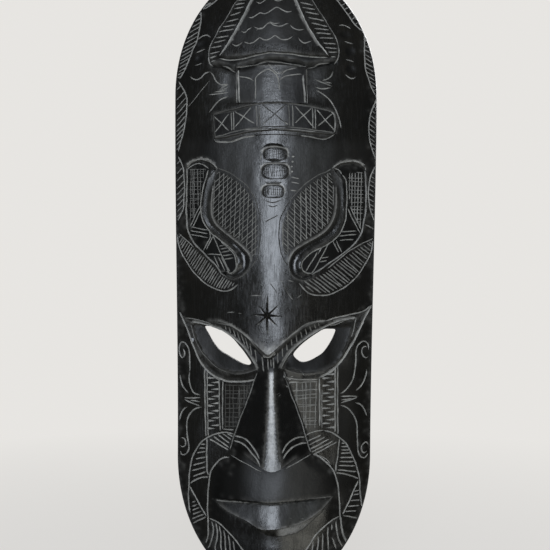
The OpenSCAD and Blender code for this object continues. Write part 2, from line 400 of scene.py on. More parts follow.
def rim_hatch(line, side, gap, slope, w=1.15, y0=None, y1=None):
    """Cuts that run from a border scallop to the mask's edge."""
    L = spline(P(line), 0.5)
    ylo, yhi = L[:, 1].min() if y0 is None else y0, L[:, 1].max() if y1 is None else y1
    y = ylo + gap * 0.6
    while y < yhi - gap * 0.2:
        i = int(np.argmin(np.abs(L[:, 1] - y)))
        a = L[i]
        # step outwards along the slope until the edge
        b = a.copy()
        for _ in range(120):
            nb = b + np.array([side * 0.25, slope * 0.25])
            if (nb[0] - edge_x(nb[1], side)) * side > -0.9:
                break
            b = nb
        if np.linalg.norm(b - a) > 1.6:
            STROKES.append(([tuple(a), tuple(b)], w * (0.85 + 0.3 * RNG.random()), 0.8, 0.3, 0.62, 0.95))
        y += gap * (1 + 0.1 * RNG.normal())


rim_hatch(SC_B, -1, 4.6, 0.62)
rim_hatch(SC_C, -1, 6.2, 1.15)
rim_hatch(SC_D, -1, 6.4, 1.1)
rim_hatch(SC_B2, 1, 4.4, 0.62)
rim_hatch(SC_C2, 1, 4.6, 0.75)
rim_hatch(SC_D2, 1, 4.8, 0.6)
cuts("""203,9.5 207,5 211,3
205,7 212,3.5 215,2.6
216,0 222,-4
220,-5 227,-9
225,-10 231,-14
231,-16 236,-19""", w=1.1, t=1.5)
for i in range(13):
    s = i / 12
    L = spline(P(SC_A2), 1.0)
    a = L[int((0.04 + 0.9 * s) * (len(L) - 1))]
    b = a.copy()
    for _ in range(60):
        nb = b + np.array([0.2, -0.13])
        if nb[0] - edge_x(nb[1], 1) > -1.0:
            break
        b = nb
    if np.linalg.norm(b - a) > 1.2:
        STROKES.append(([tuple(a), tuple(b)], 1.3, 0.6, 0.3, 0.62, 0.95))

# --- house: roof ---------------------------------------------------------------
ROOF_LO = "255,-20 248,-14 243,-8 238,0 234,5 230,13 225,21 220,28 216,36 213,41 210.5,47 209,53 209,60 210,64 213,66.5"
ROOF_LI = "268,-26 263,-19 257,-9 252,0 249,6 245,14 241,22 236,31 231,40 226,48 222,54 219.5,57"
ROOF_RI = "280,-26 285,-19 290,-9 295,0 299,8 304,20 310,31 317,42 324,51 328,56"
ROOF_RO = "292,-21 299,-16 306,-9 312,0 317,8 323,17 328,25 333,33 336.5,40 338.5,47 338.5,54 337,60 334,64"
cut(ROOF_LO, w=1.5, t=3)
cut(ROOF_RO, w=1.5, t=3)
cut(ROOF_LI, w=2.3, t=4, t2=5, k=0.5)
cut(ROOF_RI, w=2.3, t=4, t2=5, k=0.5)
cuts("""249,-13 256,-12
245,-9 254,-7
241,-5 252,-2.5
238,1.5 249,0
235,6 245,4
234,10 244,8
230,17 241,13
226,23 239,20
223,28 236,26
219,33 234,30
216,39 229,37
214,44 226,41
211,49 222,47
210,55 220,52.5
210,59 217,57
211,62.5 216,61
296,-13 303,-12
299,-8 307,-6
300,-3 311,-1
300,3 313,6
302,8 315,10
305,12.5 319,15
308,18 324,21.5
311,23.5 327,27
314,29 329,30.5
316,33.5 331,34.5
319,38.5 334,38.5
323,43.5 336,44.5
325,48 337,49
328,52.5 337,52.5
331,57 336,57""", w=1.35, t=2.2)
cuts("""262,-12 265,-10.5 268,-12.5 272,-14 276,-12 280,-11.5 284,-14
256,3 260,4.5 263,3 267,0.5
273,0 277,2.2 281,1.5 284,0
248,18.5 252,19 256,16.5 260,14 264,15 268,14 272,11 276,8.5 279,9 282,11 287,13 292,12
241,32 245,33.5 248,31 252,28.5
254,28 259,30 263,29 266,26 270,24 273,26 277,27 281,27 286,25 289,24
256,31.5 260,29.5 264,29
269,22.5 274,24.5 280,24
290,26 294,29.5 299,31 304,30
232,45 236,47 240,45.5 243,43
244,43 249,44.5 254,43 258,40 260,39 264,41 268,40.5 272,38.5 275,36.5 278,38.5 282,40.5 288,40 293,37
298,38.5 301,42 305,44 312,41.5""", w=1.15, t=3, k=0.5)
# eave grooves and the top of the house
cuts("""219,59 232,60.5 245,58.5 258,55.5 270,53.5 290,54.5 310,57 328,57.5
236,68 245,66.5 254,64.5 262,62 268,60.8 276,61 286,62.5 297,64 307,66.8
222,66 228,67.5 236,72.8
306,66.8 313,66.5 320,63.5 330,62.5""", w=1.2, t=5, k=0.5)
# posts, arch and curtains
cut("238.5,70 238.5,80 239,92 239.5,103", w=1.9, t=2, k=0.45)
cut("236.2,72 236.5,88 237,104", w=1.0, t=2)
cut("303,75 303.5,84 304.5,94 305,103", w=1.9, t=2, k=0.45)
cut("306.5,68 306.8,84 307.3,104", w=1.0, t=2)
cuts("""255.5,100 255.5,90 255.5,80 257,76.5 260,73.5 264,70.8 268,69.5 271,70.5 274,72.8 277,76 278.5,80 279,86 279.2,91
238,77 245,77.5 250,79 254,81.5
279.5,80.5 283,77.5 288,75.5 295,74.6 302,74.2
268,63 271,67 275,71.5 279,74 283,71
281,76 284,72 289,69.5 297,67.8""", w=1.15, t=3)
# --- flames or leaves beside the house -----------------------------------------
cuts("""190,77 193,79.3 197,80 201,78 205,74 210,72
210,72 213,75.5 215,80 218,83 222,85 228,84
228,84.5 224,86.5 219,90
219,90.5 224,89 228,87.5
227,90 221,91.3 214,92.5
228,92.5 219,94 209,95
228,96.5 222,99 216,104 212,109 209,113
333,71 331,76 327,79 322,80
315,79 322,82 332,86
331,87.2 322,88.6 315,86.5
332,83 324,81.5
316,90 322,93 328,98 332,103 335,108 337,113 340,122 341,128""", w=1.3, t=3)
cut("210,80 199,94 187,109", w=0.7, t=6, k=0.4)
# --- finger ovals ---------------------------------------------------------------
cuts("""198,40 202,37 207,35.5 211,38
196,53.5 205,49.5
195,66 202,63.5
339,25 343,24.8 347,26 351,28.5
344.5,41 353,43.5
346,59 354,61.5
345,74 349,77 352,78 356,76.5""", w=1.2, t=2.5)
# --- balcony band with crossed rails ---------------------------------------------
BAND_TOP = "213,116 222,113.5 232,112 245,108.5 255,105.5 262,104 280,103.5 300,105.5 315,108 325,110 331,112"
BAND_BOT = "215,137.5 225,135.3 235,132 250,129.3 260,128 275,127 290,127.5 305,129 320,131 333,132.5"
cut(BAND_TOP, w=1.4, t=2, c=0.25)
cut("331,112 334,115 335,121 334.8,127 334,132.5", w=1.5, t=1)
cut(BAND_BOT, w=1.3, t=2, c=0.6)
cut("240,131 250,130.2 262,129.6 275,129.2 290,129.8 305,131 318,132.2", w=1.0, t=6, k=0.4)
cut("214.5,141.5 222,142.6 230,142.2 237,140 243,138 250,136.5 256,135.8", w=1.9, t=3, k=0.35, c=0.8)
cut("300,135.3 310,136.8 318,138.3 325,138.8 331,136.5 335,133.5", w=1.3, t=3, k=0.4, c=0.8)
cuts("""231.3,113 231.6,122 232,131.5
233.6,112 233.8,122 234.2,131
256.3,106.5 256.8,116 257.2,127.3
259.2,105.8 259.6,116 260,127
288.6,105 289,115 289.5,126.5
292.4,105.5 292.7,115 293,127
312.3,108 312.5,118 312.8,129
315,108.6 315.2,118 315.5,129.5
214.2,117 229,131.5
229,114.5 215,133.5
235,112.3 254.5,124
251,108.2 235.3,127.5
262,104.8 288,125.2
285.5,105.2 263,124.5
295,106.3 315,129
311.5,108.3 295,123.5
316.5,110 335,131.5
332,114 317.5,126.5""", w=1.15, t=1.6)
# --- three oval bosses and the marks beside them
BOSSES = [((275.2, 154.0), 12.3, 6.7), ((275.2, 171.3), 13.8, 7.7), ((273.2, 191.3), 11.0, 6.5)]


def oval(c, a, b, n=28):
    out = []
    for i in range(n):
        u, v = math.cos(i * 6.2832 / n), math.sin(i * 6.2832 / n)
        out.append((c[0] + a * math.copysign(abs(u) ** 0.64, u), c[1] + b * math.copysign(abs(v) ** 0.64, v)))
    return out


for c, a, b in BOSSES:
    ring = oval(c, a, b)
    cut(ring + ring[:1], w=1.0, t=0.1, k=0.5, c=0.45)
    hatch(oval(c, a - 1.6, b - 1.4), 4, 2.4, w=0.5, inset=0.3, k=0.14, c=0.08, wander=5)
    hatch(oval(c, a - 1.6, b - 1.4), 87, 2.1, w=0.6, inset=0.1, k=0.25, c=0.28, wander=5)
# --- (marks) ----------------------------------
cut("262.5,148 266,145.6 271,144.4 277,144.3 281,145.2 284.5,147.2", w=2.5, t=4, k=0.6, c=0.05)
cuts("""266,162.3 272,163 279,163 284.5,162
265,182.5 273,183.8 282,182.3
265,200.5 273,202.8 281,200
268,205.3 273,206.8 278,205
291,177 299,178.5
291,182 299,183.5
290,190 297,191
265,222 271,219 278,215
275,212.5 276,213
261,154 261,160""", w=1.2, t=1.8, k=0.5)

cuts("""291.5,157 294.5,156.2
291.2,161.9 293.8,161.3
290.4,166.8 292.8,166.5
290.6,171.7 293.2,171.4
288.8,150.5 291,150""", w=2.3, t=0.8, k=0.4, c=1.3)
cuts("""288,378.5 291,379.6
285.5,385.5 288,387.3
283.5,375.5 284.6,378""", w=1.3, t=0.8, k=0.35, c=1.2)

# --- wings: leaf with diamond hatching, rolled channel and patterned lobe ----------
LEAF_L = "217,168 225,171 233,175 240,180 247,186 253,195 257,205 259.5,215 260,225 260,238 259,250 257,258 253,265 248,271 243,276 238,279"
LEAF_R = "332,168 325,172 318,175 310,180 303,186 297,192 292,198 287,205 283,213 280,220 279,230 279,240 280,248 282,255 285,262 289,266"
CH_L_OUT = "211.5,169.5 207.5,180 205,190 203.3,200 202.3,210 203,218 207,226 213,233 219,238 226,243 232,249 237,256 238,264 236,270.5 231,273.5 226,272"
CH_L_IN = "216,169.5 213.5,180 212,190 211,200 210.8,208 211.5,216 215,224 222,231 229,236.5 236,242 242.3,247.5 247,252.5 250,258 250,265 247,271 241,276.5 234,279.5 226,278 219,273"
CH_R_OUT = "339.5,170 342.5,180 343.5,190 344,200 343.5,210 342.5,219 339.5,227 335,234 329,240.5 321,245.5 313,250 306.5,255 302,260 300.5,266 302,271 306,273.8 312,273.5"
CH_R_IN = "332.5,171 336,180 337,190 337,200 336,210 334,218 330.5,225 325.5,231 318,236.5 310,241 302,245.5 295.5,250 291,256 288.7,263 289.5,270.5 293,276.5 299,280 306,280.5 313,278"
cut(LEAF_L, w=1.05, t=3, c=0.40)
cut(LEAF_R, w=1.05, t=3, c=0.50)
cut("187,168 190,163.5 195,161 201,159.5 208,161 213,164 217.5,169", w=1.5, t=2)
cut("187,169.5 192,165.5 197,163.5 203,165 208.5,168.5", w=1.1, t=2)
cut("332,168 336,165 341,162 347,161 354,160.5 360,162 365,164.5", w=1.5, t=2)
cut("334,167.5 339,169.5 342,174", w=1.1, t=1.5)
leafL = P("218.5,170.5 226,173.5 233,177.5 240,182.5 246.5,189 251.5,197 255.5,206 258,215 258.8,225 258.8,238 257.5,249 255,257 252,263 250.5,256 247,250 241,244 234,238.5 227,232.5 219,226 213.5,219 211.8,208 212,196 213.5,184 216,175")
hatch(leafL, 88, 4.3, w=0.82, wander=1.2, inset=0.5, c=0.84, jitter=0.12)
hatch(leafL, 43, 3.8, w=0.82, wander=1.5, inset=0.4, c=0.86, jitter=0.12)
leafR = P("330,171 323,175 316,179 309,184 302,190 296,196.5 291,203.5 287,211 283.5,219 281.5,229 281.5,240 283,249 285.5,257 289,252.5 295,247 302,242.5 310,238 318,233 325,227.5 330,221 332.5,213 333.8,202 333.8,190 332.5,178")
hatch(leafR, 90, 5.6, w=1.0, wander=0.8, inset=0.5, c=1.0, jitter=0.07)
hatch(leafR, 136, 3.05, w=0.82, wander=1.5, inset=0.4, c=0.92, jitter=0.12)
hatch(P("302,190 296,196.5 291,203.5 287,211 283.5,219 281.5,229 281.5,240 283,249 285.5,257 289,252.5 295,247 302,242.5 303,230 303,212 303,200"), 136, 3.05, w=0.6, wander=1.5, inset=0.5, phase=0.5, c=0.40)
# left lobe
LOBE_L = "187,168 186.7,185 186.3,200 186.3,215 187.2,227 189.3,235 193,242 198,248 203,253 208,258 214,264 218,269 222,274 226.5,277"
cut(LOBE_L, w=1.4, t=2)
LOBE_LI = "208,170 205,181 202.5,190 201,200 200.6,210 202,218.5 206,227 212,234.5 215.5,236.5 222,242 229,247 234,252 237,258 237.7,264.5 235.7,270.5 231,273.8 226,271.5"
cut(LOBE_LI, w=1.3, t=2)
gridL = P("188.5,168 206,168 203.6,178 201.5,189 200.2,199 199,205 190.5,224 188.8,215")
hatch(gridL, 90.5, 2.65, c=0.72, w=0.78, wander=0.8, inset=0.3, t=0.8)
hatch(gridL, 3, 3.6, c=0.7, w=0.75, wander=2, inset=0.3, t=0.8)
cuts("""200.7,204.5 196,214 190,227
203,206 198,216 192,228.5
190.5,227.2 199,228.8 208,230.5
190,230.9 198,232.4 207.5,234
190,234.7 199,236.4 208,238
209,231 210,237 207,244 203,251
213,236 209.7,243 206,250
213,236 219,250 226,265 230,272
221,242 228,248 234,255 236,262 236,268 233,272 229,274
207,254.5 214,254.7 222,255
214,256 216.5,262 219,268
218,257 221.5,264 225,271
221,257 225,265 229,273
219,246.5 224.5,245.3
220,249.5 227.5,248
221,252.5 230,251
222,256 232,254.8
223.5,259.5 233.5,258""", w=1.15, t=2)
# lower left crescent
CRES_LU = "182,236 188,241 194,247 200,252 206,258 212,264 217,270 222,274 228,278 234,281"
CRES_LL = "177.8,235 178.5,244 181,252 186,261 191,269 197,276 203,282 209,286 217,290 225,291.3 232,289.5 238,284.5"
cut(CRES_LL, w=1.4, t=2)
cut("179,234 183,237.5 188,242 194,248", w=1.0, t=2)
cresL = P("179,236 183,238.5 188,243 194,249 200,254.5 206,260 212,266.5 217,272.5 222,276.5 228,280.5 235,283.5 231,287.5 225,289 217,288 210,284 204,280 198,274 192,267 187,259 182,250 179.6,243")
hatch(cresL, 59, 2.6, c=0.85, w=1.3, inset=-0.6, t=0.6, wander=1.6, jitter=0.08)
# right lobe
LOBE_RI = "342.5,174 346,180 347,190 347,200 346.5,210 345.5,220 342.5,228.5 338,235.5 331,242 322,247 313,251.5 307,256 303,261 301.6,266 303,270.5 307,273 312,273"
LOBE_RO = "365,170 366,182 366.2,195 366,206 364.8,217 363,226 361,233.5 357,240.5 351,246.5 345,252 337,257.5 330,262.5 322,268 316,272 311,275"
cut(LOBE_RI, w=1.3, t=2)
cut(LOBE_RO, w=1.4, t=2)
gridR = P("347,172 363.5,171 364,185 364.3,200 363.5,212 362,222 360,229 350,207 349,195 348.7,184")
hatch(gridR, 89, 3.3, c=0.9, w=1.0, wander=0.8, inset=0.3, t=0.8)
hatch(gridR, -2, 4.1, c=0.9, w=1.0, wander=2, inset=0.3, t=0.8)
cuts("""348,208 353,219 360,232
350.3,206 355.5,217 361.3,229
340,231.5 348,230.8 357,230.5
339,235.5 348,234.6 357,234
340,240 347,239.3 354,239
332.5,240 335.5,246 339,252
336.5,240 339,246 342,252
329,242 325.5,249 322,256 318,263 314,270 311,274
322,247 320,250.5 318,254
317.5,251.5 313.5,259 309,266 306,271
321,258 329,256.5
319,262 327,260
345,222 342,228.5""", w=1.15, t=2)
CRES_RU = "374.5,226 370,236 364,240.5 355,245.5 348,250 341,256 334,262 327,268 320,272 312,276 305,279.5"
CRES_RL = "372.8,240 371.5,250 369,256 366,262 361,270 355,278 349,283.5 340,289.5 330,294 318,295.3 309,293 303,288 299,283"
cut("374,237 368,240.5 362,243 355,247 348,251.5 341,257 334,263 327,268.5", w=1.0, t=3)
cut(CRES_RL, w=1.4, t=2)
cresR = P("371.5,241 364,245 356,250 349,254.5 342,260 335,265.5 328,271 321,275 312,279 303,281.5 307,287.5 311,291 318,293 329,291.7 339,287.5 348,281.5 354,276 360,268 365,260 368,255 370.5,248")
hatch(cresR, -38, 3.2, c=0.8, w=1.4, inset=-0.8, t=0.7, wander=1.8, jitter=0.1)
cut("365,224 370,226.5 375,229.3", w=1.1, t=1.5)
cut("365,166.5 366,170", w=1.2, t=1)

# --- star on the brow --------------------------------------------------------------
for tip in ((267.3, 294), (279, 304.3), (283.3, 316.4), (277.8, 326.2), (267, 336.3), (254.4, 326.8), (250.2, 314.6), (259, 306)):
    c = np.array((267.1, 315.6))
    v = np.array(tip) - c
    long = abs(v[0]) < 3 or abs(v[1]) < 3
    side = np.array((1.3, 0.9)) if long else np.array((1.0, 0.9)) * (1 if v[0] * v[1] < 0 else -1) * np.array((1, 1 if v[0] * v[1] < 0 else -1))
    # a thin pale cut beside each ray, all on one side: a painted highlight on the ray's lit edge
    STROKES.append(([tuple(c + v * 0.22 + side), tuple(c + v * 0.9 + side * 0.5)], 0.75, 1.5, 2.5, 0.25, 1.25))
    STROKES.append(([tuple(c + v * 0.04), tuple(c + v * 0.5), tuple(tip)], 3.0 if long else 2.6, 0.2, np.linalg.norm(v) * 0.82, 0.62, 0.04))
cuts("""281,280 285,288 289,295 293,300
297,298 302,294.3
227,312.8 235,312.3
237.5,313.3 242,314
279,281 284,281.5
288,280.5 294,281.5
270,283 275,290 277,294
250,296 262,295.5""", w=0.9, t=2, k=0.35)

# --- brows ---------------------------------------------------------------------------
BROW_L = "217.7,323.8 227.3,324.8 236,328.9 243.7,334 251.3,341.6 258.5,350.3 264.5,356.4"
BROW_R = "326.8,319.9 313.6,321.4 305.4,324.5 293,333 285,340.8 279,347.5 273.5,353.5"
cut(BROW_L, w=1.2, t=3, t2=1, c=0.5)
cut(BROW_R, w=1.2, t=3, t2=1, c=0.5)
# pale cut along the brow's tip: a painted highlight
cut("262.6,354.3 264.3,356.0 266.5,357.2 269,357.2 271.3,355.9 273.6,353.3 275.4,351.2", w=1.7, t=1.8, k=0.4, c=1.5)
LID_L = "191.5,322.3 200,323.3 211.5,326 222.8,330.4 230.9,335.7 237.6,341 243.3,346.7 249.4,354.6 254.2,362.5 258,369.6"
LID_R = "355.5,317 346,318.6 338.6,320.4 329.4,324 321.7,328.2 313.6,332.6 305,338.6 296.5,345.2 289.5,352.8 284,361 280.3,368.6"
cut(LID_L, w=1.5, t=3, k=0.5)
cut(LID_R, w=1.9, t=3, k=0.5)
cut("329,325.6 334,325 338,323.8 343,321 349,318.8 355,317.3", w=1.5, t=2, k=0.5)
cuts("""225.3,325.8 226.3,330.5
229,327.3 231,334
233,329.3 235.6,337.3
237,331.5 240.3,341
241,334 244.8,345
245,337.6 248.8,349.5
250,343.2 251.8,356
255,349.3 256.6,363
261.8,356.5 263.8,371.8
267.6,358.6 268.6,370.6
270.8,359 271.2,367
273,357.2 273.9,369
277.5,352.5 277.9,363.5
282.3,347.6 282.6,357
286.4,343.4 287.2,350.8
291.3,338.9 292,346
296,334.6 297,342.6
300.5,331.2 302,338.6
305,328.1 306.8,334.8
309.5,325.7 311.5,331.6
314,323.7 315.8,328.6
318,322.3 319.3,326""", w=1.25, t=1.2, c=0.85)
# pale notches at the brow's tip: painted glints
cuts("""263,355.6 265.2,358.2
268.6,356.9 271.4,357.1
273.4,355.8 275.6,353.2""", w=1.7, t=0.4, k=0.4, c=2.4)

# --- eyes ------------------------------------------------------------------------------
EYE_L_LOW = "191,323 191.4,327 193.5,334.5 197.8,345.7 206.4,358 217.7,368.2 228.4,373.4 238.6,375 250,372.6 257.6,369.8"
EYE_L_OUT = "179.8,312.8 186.5,327.3 191.6,341.6 197.8,356.9 203.9,367.1 213.6,375.8 225.8,380.9 238.6,381.9 249,380.9 254.5,379.8"
cut(EYE_L_OUT, w=2.0, t=2, k=0.5)
cut("191,323 191.4,327 193.5,334.5 197.8,345.7 206.4,358 217.7,368.2 228.4,373.4", w=0.8, t=3, k=0.4, c=0.6)
cut("184,318.5 195,319.5 206,322.5 214,325.5", w=0.9, t=4, k=0.4)
EYE_R_LOW = "355.7,317.5 355,322 353.5,330 350.9,337 346,349 340,360 331,367.5 322,372 311,374.3 300,374.5 290,372 283,369.3"
EYE_R_OUT = "371.3,305 363.7,319 355.7,336.7 344.5,355.8 335,367.5 327.5,373.2 320,377"
cut(EYE_R_OUT, w=2.4, t=2, k=0.5, c=1.1)
cut("371.3,304.5 366,309 358,312.3 346,315 336,317.3 325.4,320.7", w=1.5, t=3)
cut("356,317.5 355,322 353.5,330 350.9,337", w=1.0, t=2, k=0.4)
SLIT_L = P("204.5,327.3 211.5,327.3 217.7,329.4 223.3,332.4 229.4,336.5 234,340.6 238.6,346.2 242.6,350.8 247.2,357.4 250.8,363.1 249.3,366.1 243.7,365.1 237.6,362 233,359.4 228.5,356.6 223,353.5 217.5,349 212.6,342.7 208.5,335.5")
SLIT_R = P("293.6,354.4 299,347.6 304,342.9 310.5,337.9 317.7,333 324,329.4 330,328.9 335.9,329.6 334.6,335 331.4,341.6 327,348.6 322.5,353.9 317.3,357.4 311.5,360.7 306,362.6 301.3,362.4 296,359.2")

# --- cheeks -------------------------------------------------------------------------------
cut("204.6,369 205,390 205.2,410 206,437", w=1.5, t=2)
cuts("""335.2,365.5 335.1,385 335,410 335,432
337.6,364 337.6,390 337.6,410 337.8,434""", w=1.5, t=2, c=1.15)
cuts("""207.2,371 207.3,395 207.6,415 208.3,436.5
219.2,379 219.3,395 219.6,415 220.2,431
222.9,380.5 222.6,400 222.5,415 222.7,429.5""", w=1.3, t=2)
cut("319.4,378 319.5,395 319.6,408 319.7,426", w=1.6, t=2, k=0.5, c=1.25)
cut("321.9,389 321.9,400 321.8,415 322,428", w=0.9, t=2)
cuts("""207,371.5 211,374.5 215,377.8 219,380.2
319,377.5 325,374 330.5,370 334.5,366.5
222.5,381 230,382.2 238,382.4 246,381.3 254.5,379.9
222.7,429.3 228,429.8 234,430
285.5,377.5 292,378.5 300,379.5 309,379.7 318,378.8""", w=1.2, t=2)
for i, y in enumerate((378, 385.3, 392, 399, 406, 413.3, 420.8, 428.6)):
    cut([(207.6, y), (215.5 - 0.3 * (i % 3), y + 0.4)], w=2.6, t=0.1, t2=7.5, k=0.4)
for i, y in enumerate((382.4, 389.2, 396.3, 403.3, 410.8, 418, 425.3)):
    cut([(219.4, y), (210.8 + 0.4 * (i % 2), y + 0.6)], w=2.4, t=0.1, t2=7.5, k=0.4)
for i, y in enumerate((377.6, 385, 392.6, 400.4, 407.6, 415, 422.8)):
    cut([(322, y + 0.4), (331.5 - 0.5 * (i % 2), y)], w=2.3, t=0.1, t2=8, k=0.4)
for i, y in enumerate((373.6, 381, 388.6, 396.2, 403.6, 411, 418.8, 426.8)):
    cut([(334.8, y), (325.3 + 0.5 * (i % 3), y + 0.8)], w=2.4, t=0.1, t2=8, k=0.4)
panelL = P("224,383.5 232,384.5 240,384.3 252,382.8 249,392 245.5,402.5 241.8,413 238.5,422 236.5,428.3 224,428.3")
hatch(panelL, 90, 3.75, w=0.8, inset=0.1, wander=0.8, t=1.0, c=0.34)
hatch(panelL, 0, 4.75, w=0.8, inset=0.3, wander=1.5, t=1.0, phase=0.3, c=0.38)
hatch(P("240,384 252,382.8 249,392 245.5,402.5 241.8,413 238,420 236,405"), 88, 1.9, w=0.7, inset=0.6, wander=2.5, k=0.4, c=0.3)
panelR = P("288,381 300,381.8 318,381 318,400 317.7,415 317.5,428.5 305.5,428.5 302,418 297.5,406 292.5,393")
hatch(panelR, 90, 4.2, w=1.0, inset=0.2, wander=1.8, t=1.2, jitter=0.25, c=0.95)
hatch(panelR, 2, 4.6, w=0.95, inset=0.4, wander=3.0, t=1.2, jitter=0.25, c=0.88)
hatch(P("290,383 300,383 312,383 314,392 308,402 299,402 294,393"), 86, 2.1, w=0.65, inset=1.0, wander=4, k=0.35, c=0.4)
hatch(P("292,386 300,385 315,385 315,400 305,405 299,402 294,393"), 4, 2.3, w=0.65, inset=1.0, wander=5, k=0.35, c=0.4)
cuts("""284,371 286,377 288.5,381
290,377 294,376
302,372.5 304.5,376""", w=0.9, t=1.5, k=0.4)
# nose side plane outlines and nostrils
NOSE_L = "257.3,372.5 254.5,380 250,393.5 245.7,405 241,416.5 236.9,427.6 235,433.5 232.3,441.5 230,449.5"
NOSE_R = "283.2,371 286.5,381 290.5,393 295.5,405.5 300,418 304,430.5 307,441.5 310.5,451.5"
cut(NOSE_L, w=1.1, t=2, c=0.75)
cut(NOSE_R, w=1.1, t=2, c=0.75)
cuts("""234.5,436 241,437.3 247,440.5 252,446 256.3,452.5 259.5,459.5
233.5,440.8 240,442.5 246.5,447 252,453.5 256.5,459 260.3,466
305,437 299,437.2 293,439.3 287.5,444 284,449 282,453.8
307,443 300.5,443.4 294,446.3 288.5,451 285,455 283,459.3""", w=1.7, t=3.5, k=0.5)
cuts("""276,395.5 278,394 280.3,393.2
278.5,396.2 281,394.5""", w=0.8, t=1, k=0.3)

# --- temple scrolls ------------------------------------------------------------------------
cuts("""189.8,372 189.9,362 189.5,354 188,347.5 185,343.3 181.8,342.5 179.9,345.5 179.4,350.5 180,355 182,358.4 184.2,356.5 184.6,352.5 182.8,349
189.8,372 189.3,378 189.8,384 191.5,389.5 194.5,393.5 200.5,395.7
179.9,375 181,381 183.2,387 186,391 188.5,393.3
184.3,398.3 190,398.3 196,398.3 200.3,398
184.5,400 190,402.5 196,405 200,406.3
190,400.7 196,401.5 200,402.3
201.8,407.4 197,408.5 192.5,411 189.3,415.5 187.3,421 186.7,428 187.3,435 188.3,442 188.8,449 187.3,453 184.5,455.3 181.5,454.8 180.6,451.5
180.6,446 182.5,447.5 185,446.3 185.6,443.3 185,440 182.5,438.2 180.8,438.6
187.3,407.3 184,409.5 181.5,413 180.3,417 179.8,421
368.5,349 368,344.3 366,341.5 363.2,340.6 360,342.3 357.3,345.5 356,351 355.7,358 355.3,366 354.2,373.5 352,380.5 348.5,386.5 344.5,390.8 340.5,393.3
368,356 365.5,357.4 362.7,354.8 361.7,351 362.7,347.4 365,345.8 367,346.8
366.6,368.8 366,374 364.2,379.8 360.8,385.3 355.6,390.3
357.5,396 350,395.8 340.5,396
357.3,396.8 349,399.8 340.8,402.6
352,397.8 346,399 341,399.6
340.8,405 345,406.3 349.5,409.5 353.3,414 355.8,419.5 357,427 357.3,435 357.4,443 358,450 359.8,455 362.7,457.3 365.8,456.3 367.8,453
368.3,444.3 366.3,441.5 363.6,443 361.3,446.5 361.8,450.6 364,452.4 366.5,450.5
355.3,402.3 359.5,403.5 362.7,406.5 365,410.5 366.8,415.3""", w=1.5, t=3)

# --- lower face ---------------------------------------------------------------------------------
cut("233.5,434.3 229,433 225,432.5 215,434.5 208,437.5 201,443 196,450 192.5,458 190.5,466 189.5,475 189,485 188.5,495 188.8,505 190.3,513", w=1.5, t=3)
cut("207,438 206.8,455 207,469 208.3,475.5", w=1.8, t=2)
cuts("""201,444.8 205.6,444.5
199,448.6 205.6,448.5
197,453.4 205.6,452
195.5,459.6 205.6,457.4
193,465.8 205.6,462
192,471 205.6,467.3
193,477 205.8,472
209.5,439.5 218,444 228.3,450.3
213.5,436.5 220,441.5 228.7,447.5
218,434.8 223.5,439 229.5,443.5
222.5,434 227,436.8 231.3,440
227,433.8 231,435.8 233,437.5
192,503 195.5,501.7
192,507.2 197.3,505
192,511 199.5,508
192.5,515 201.5,511.4
192,519.3 204,514.6
193,523.7 206.3,517""", w=1.5, t=1.6)
cuts("""190.3,484 194,481 199,478.7 204,477.7 208.5,477.3
190,487 198,502 206.3,516.5""", w=1.6, t=1.6)
MZ_L = "229.5,457.5 224,458 219,460.5 215,465 211.5,470.5 209.5,478 208.5,488 207.7,498 207.6,510 208,520 208.4,530 207.8,537 205.8,543.5"
cut(MZ_L, w=1.5, t=3)
cuts("""209.5,518.8 217,522 224,528 231,535 238,543.5 244,551.5 251,562 258,574
211.8,522 213.3,528 212.8,536 210.8,543 208,548.5
215.8,523 217.4,530 217,539 215.3,548 217,555
219.3,526 220.6,533 221,541 221.5,550 224.5,560
223.8,530.5 225,538 226,550 230,563
228.3,535 229.5,543 231,553 236,568
233,541 234.5,549 238,561 243,573""", w=1.5, t=2.5)
cut("324,430 331,432 338,436 345,442 350,450 353.5,458 356.5,466 358.9,475 359.8,485 360.3,495 361.3,503 362.8,508", w=1.5, t=3)
cut("324,430 316,431 309,433.2 305.5,436", w=1.1, t=3)
cut("339.5,438 338.3,449 337.3,458 336,466 335.8,471.5", w=1.5, t=2)
cuts("""341.3,442.8 345,442.8
341,446.3 348.5,446
341,449.6 349.6,449.4
340.5,453 351.5,452.4
340,457.3 353,456.9
339.5,461.2 354.3,461
338.7,465.3 355.5,465.3
337.6,469.5 356.7,471.2
354,491 359.2,489.7
353,494.5 359.2,493.5
350,500.3 359.6,499.5
347.5,506 359.3,505
345,511 356.5,510.5
343,515.3 350,516.3 357.3,517.6
308,441 321,434.5
309,445 325,436.5
310,449 329,438.7
311.5,452 333,440.5
313,454.5 337,441.5""", w=1.4, t=1.6)
cuts("""336,472.5 345,473.6 352,475.6 358.3,478.3
358.3,480 353,491.5 348,503 342.6,514""", w=1.6, t=1.6)
MZ_R = "312.5,453.5 318,456 324,460 330,466 334.5,473 337,481 338.5,490 339.3,500 339.7,510 340.5,520 341.8,530 344.5,538 348,544.5"
cut(MZ_R, w=1.5, t=3)
cut("319,454.8 326,459 331,464.5", w=1.0, t=3)
cuts("""339,516 333,519 327,524 320,530 314,537 309,545 302,556 296,567 290,576
341,516.5 341.3,524 342.8,532 346.5,540
335.8,520.5 336.5,529 338,537 341.5,544.5 344,548.5
328,526.5 327.7,534 328,543 328.3,550
331.8,537 334.5,544 336.3,548.5
322.6,533 322.7,541 322,551 320,560
318,536 318,544 316.5,555 313.5,567
313,541 312.3,549 309.5,561 305.5,572
331.5,524 331.8,530""", w=1.5, t=2.5)
cuts("""230,455 237,459 247,464.3 256,469.3 262.5,472.3
311.5,453.5 303,459 294,463.8 285,469.2""", w=0.9, t=4, k=0.4)
cuts("""301.5,529.5 305,525.5 308,520.5 310,519
300,518.5 305,519""", w=0.8, t=2, k=0.3)
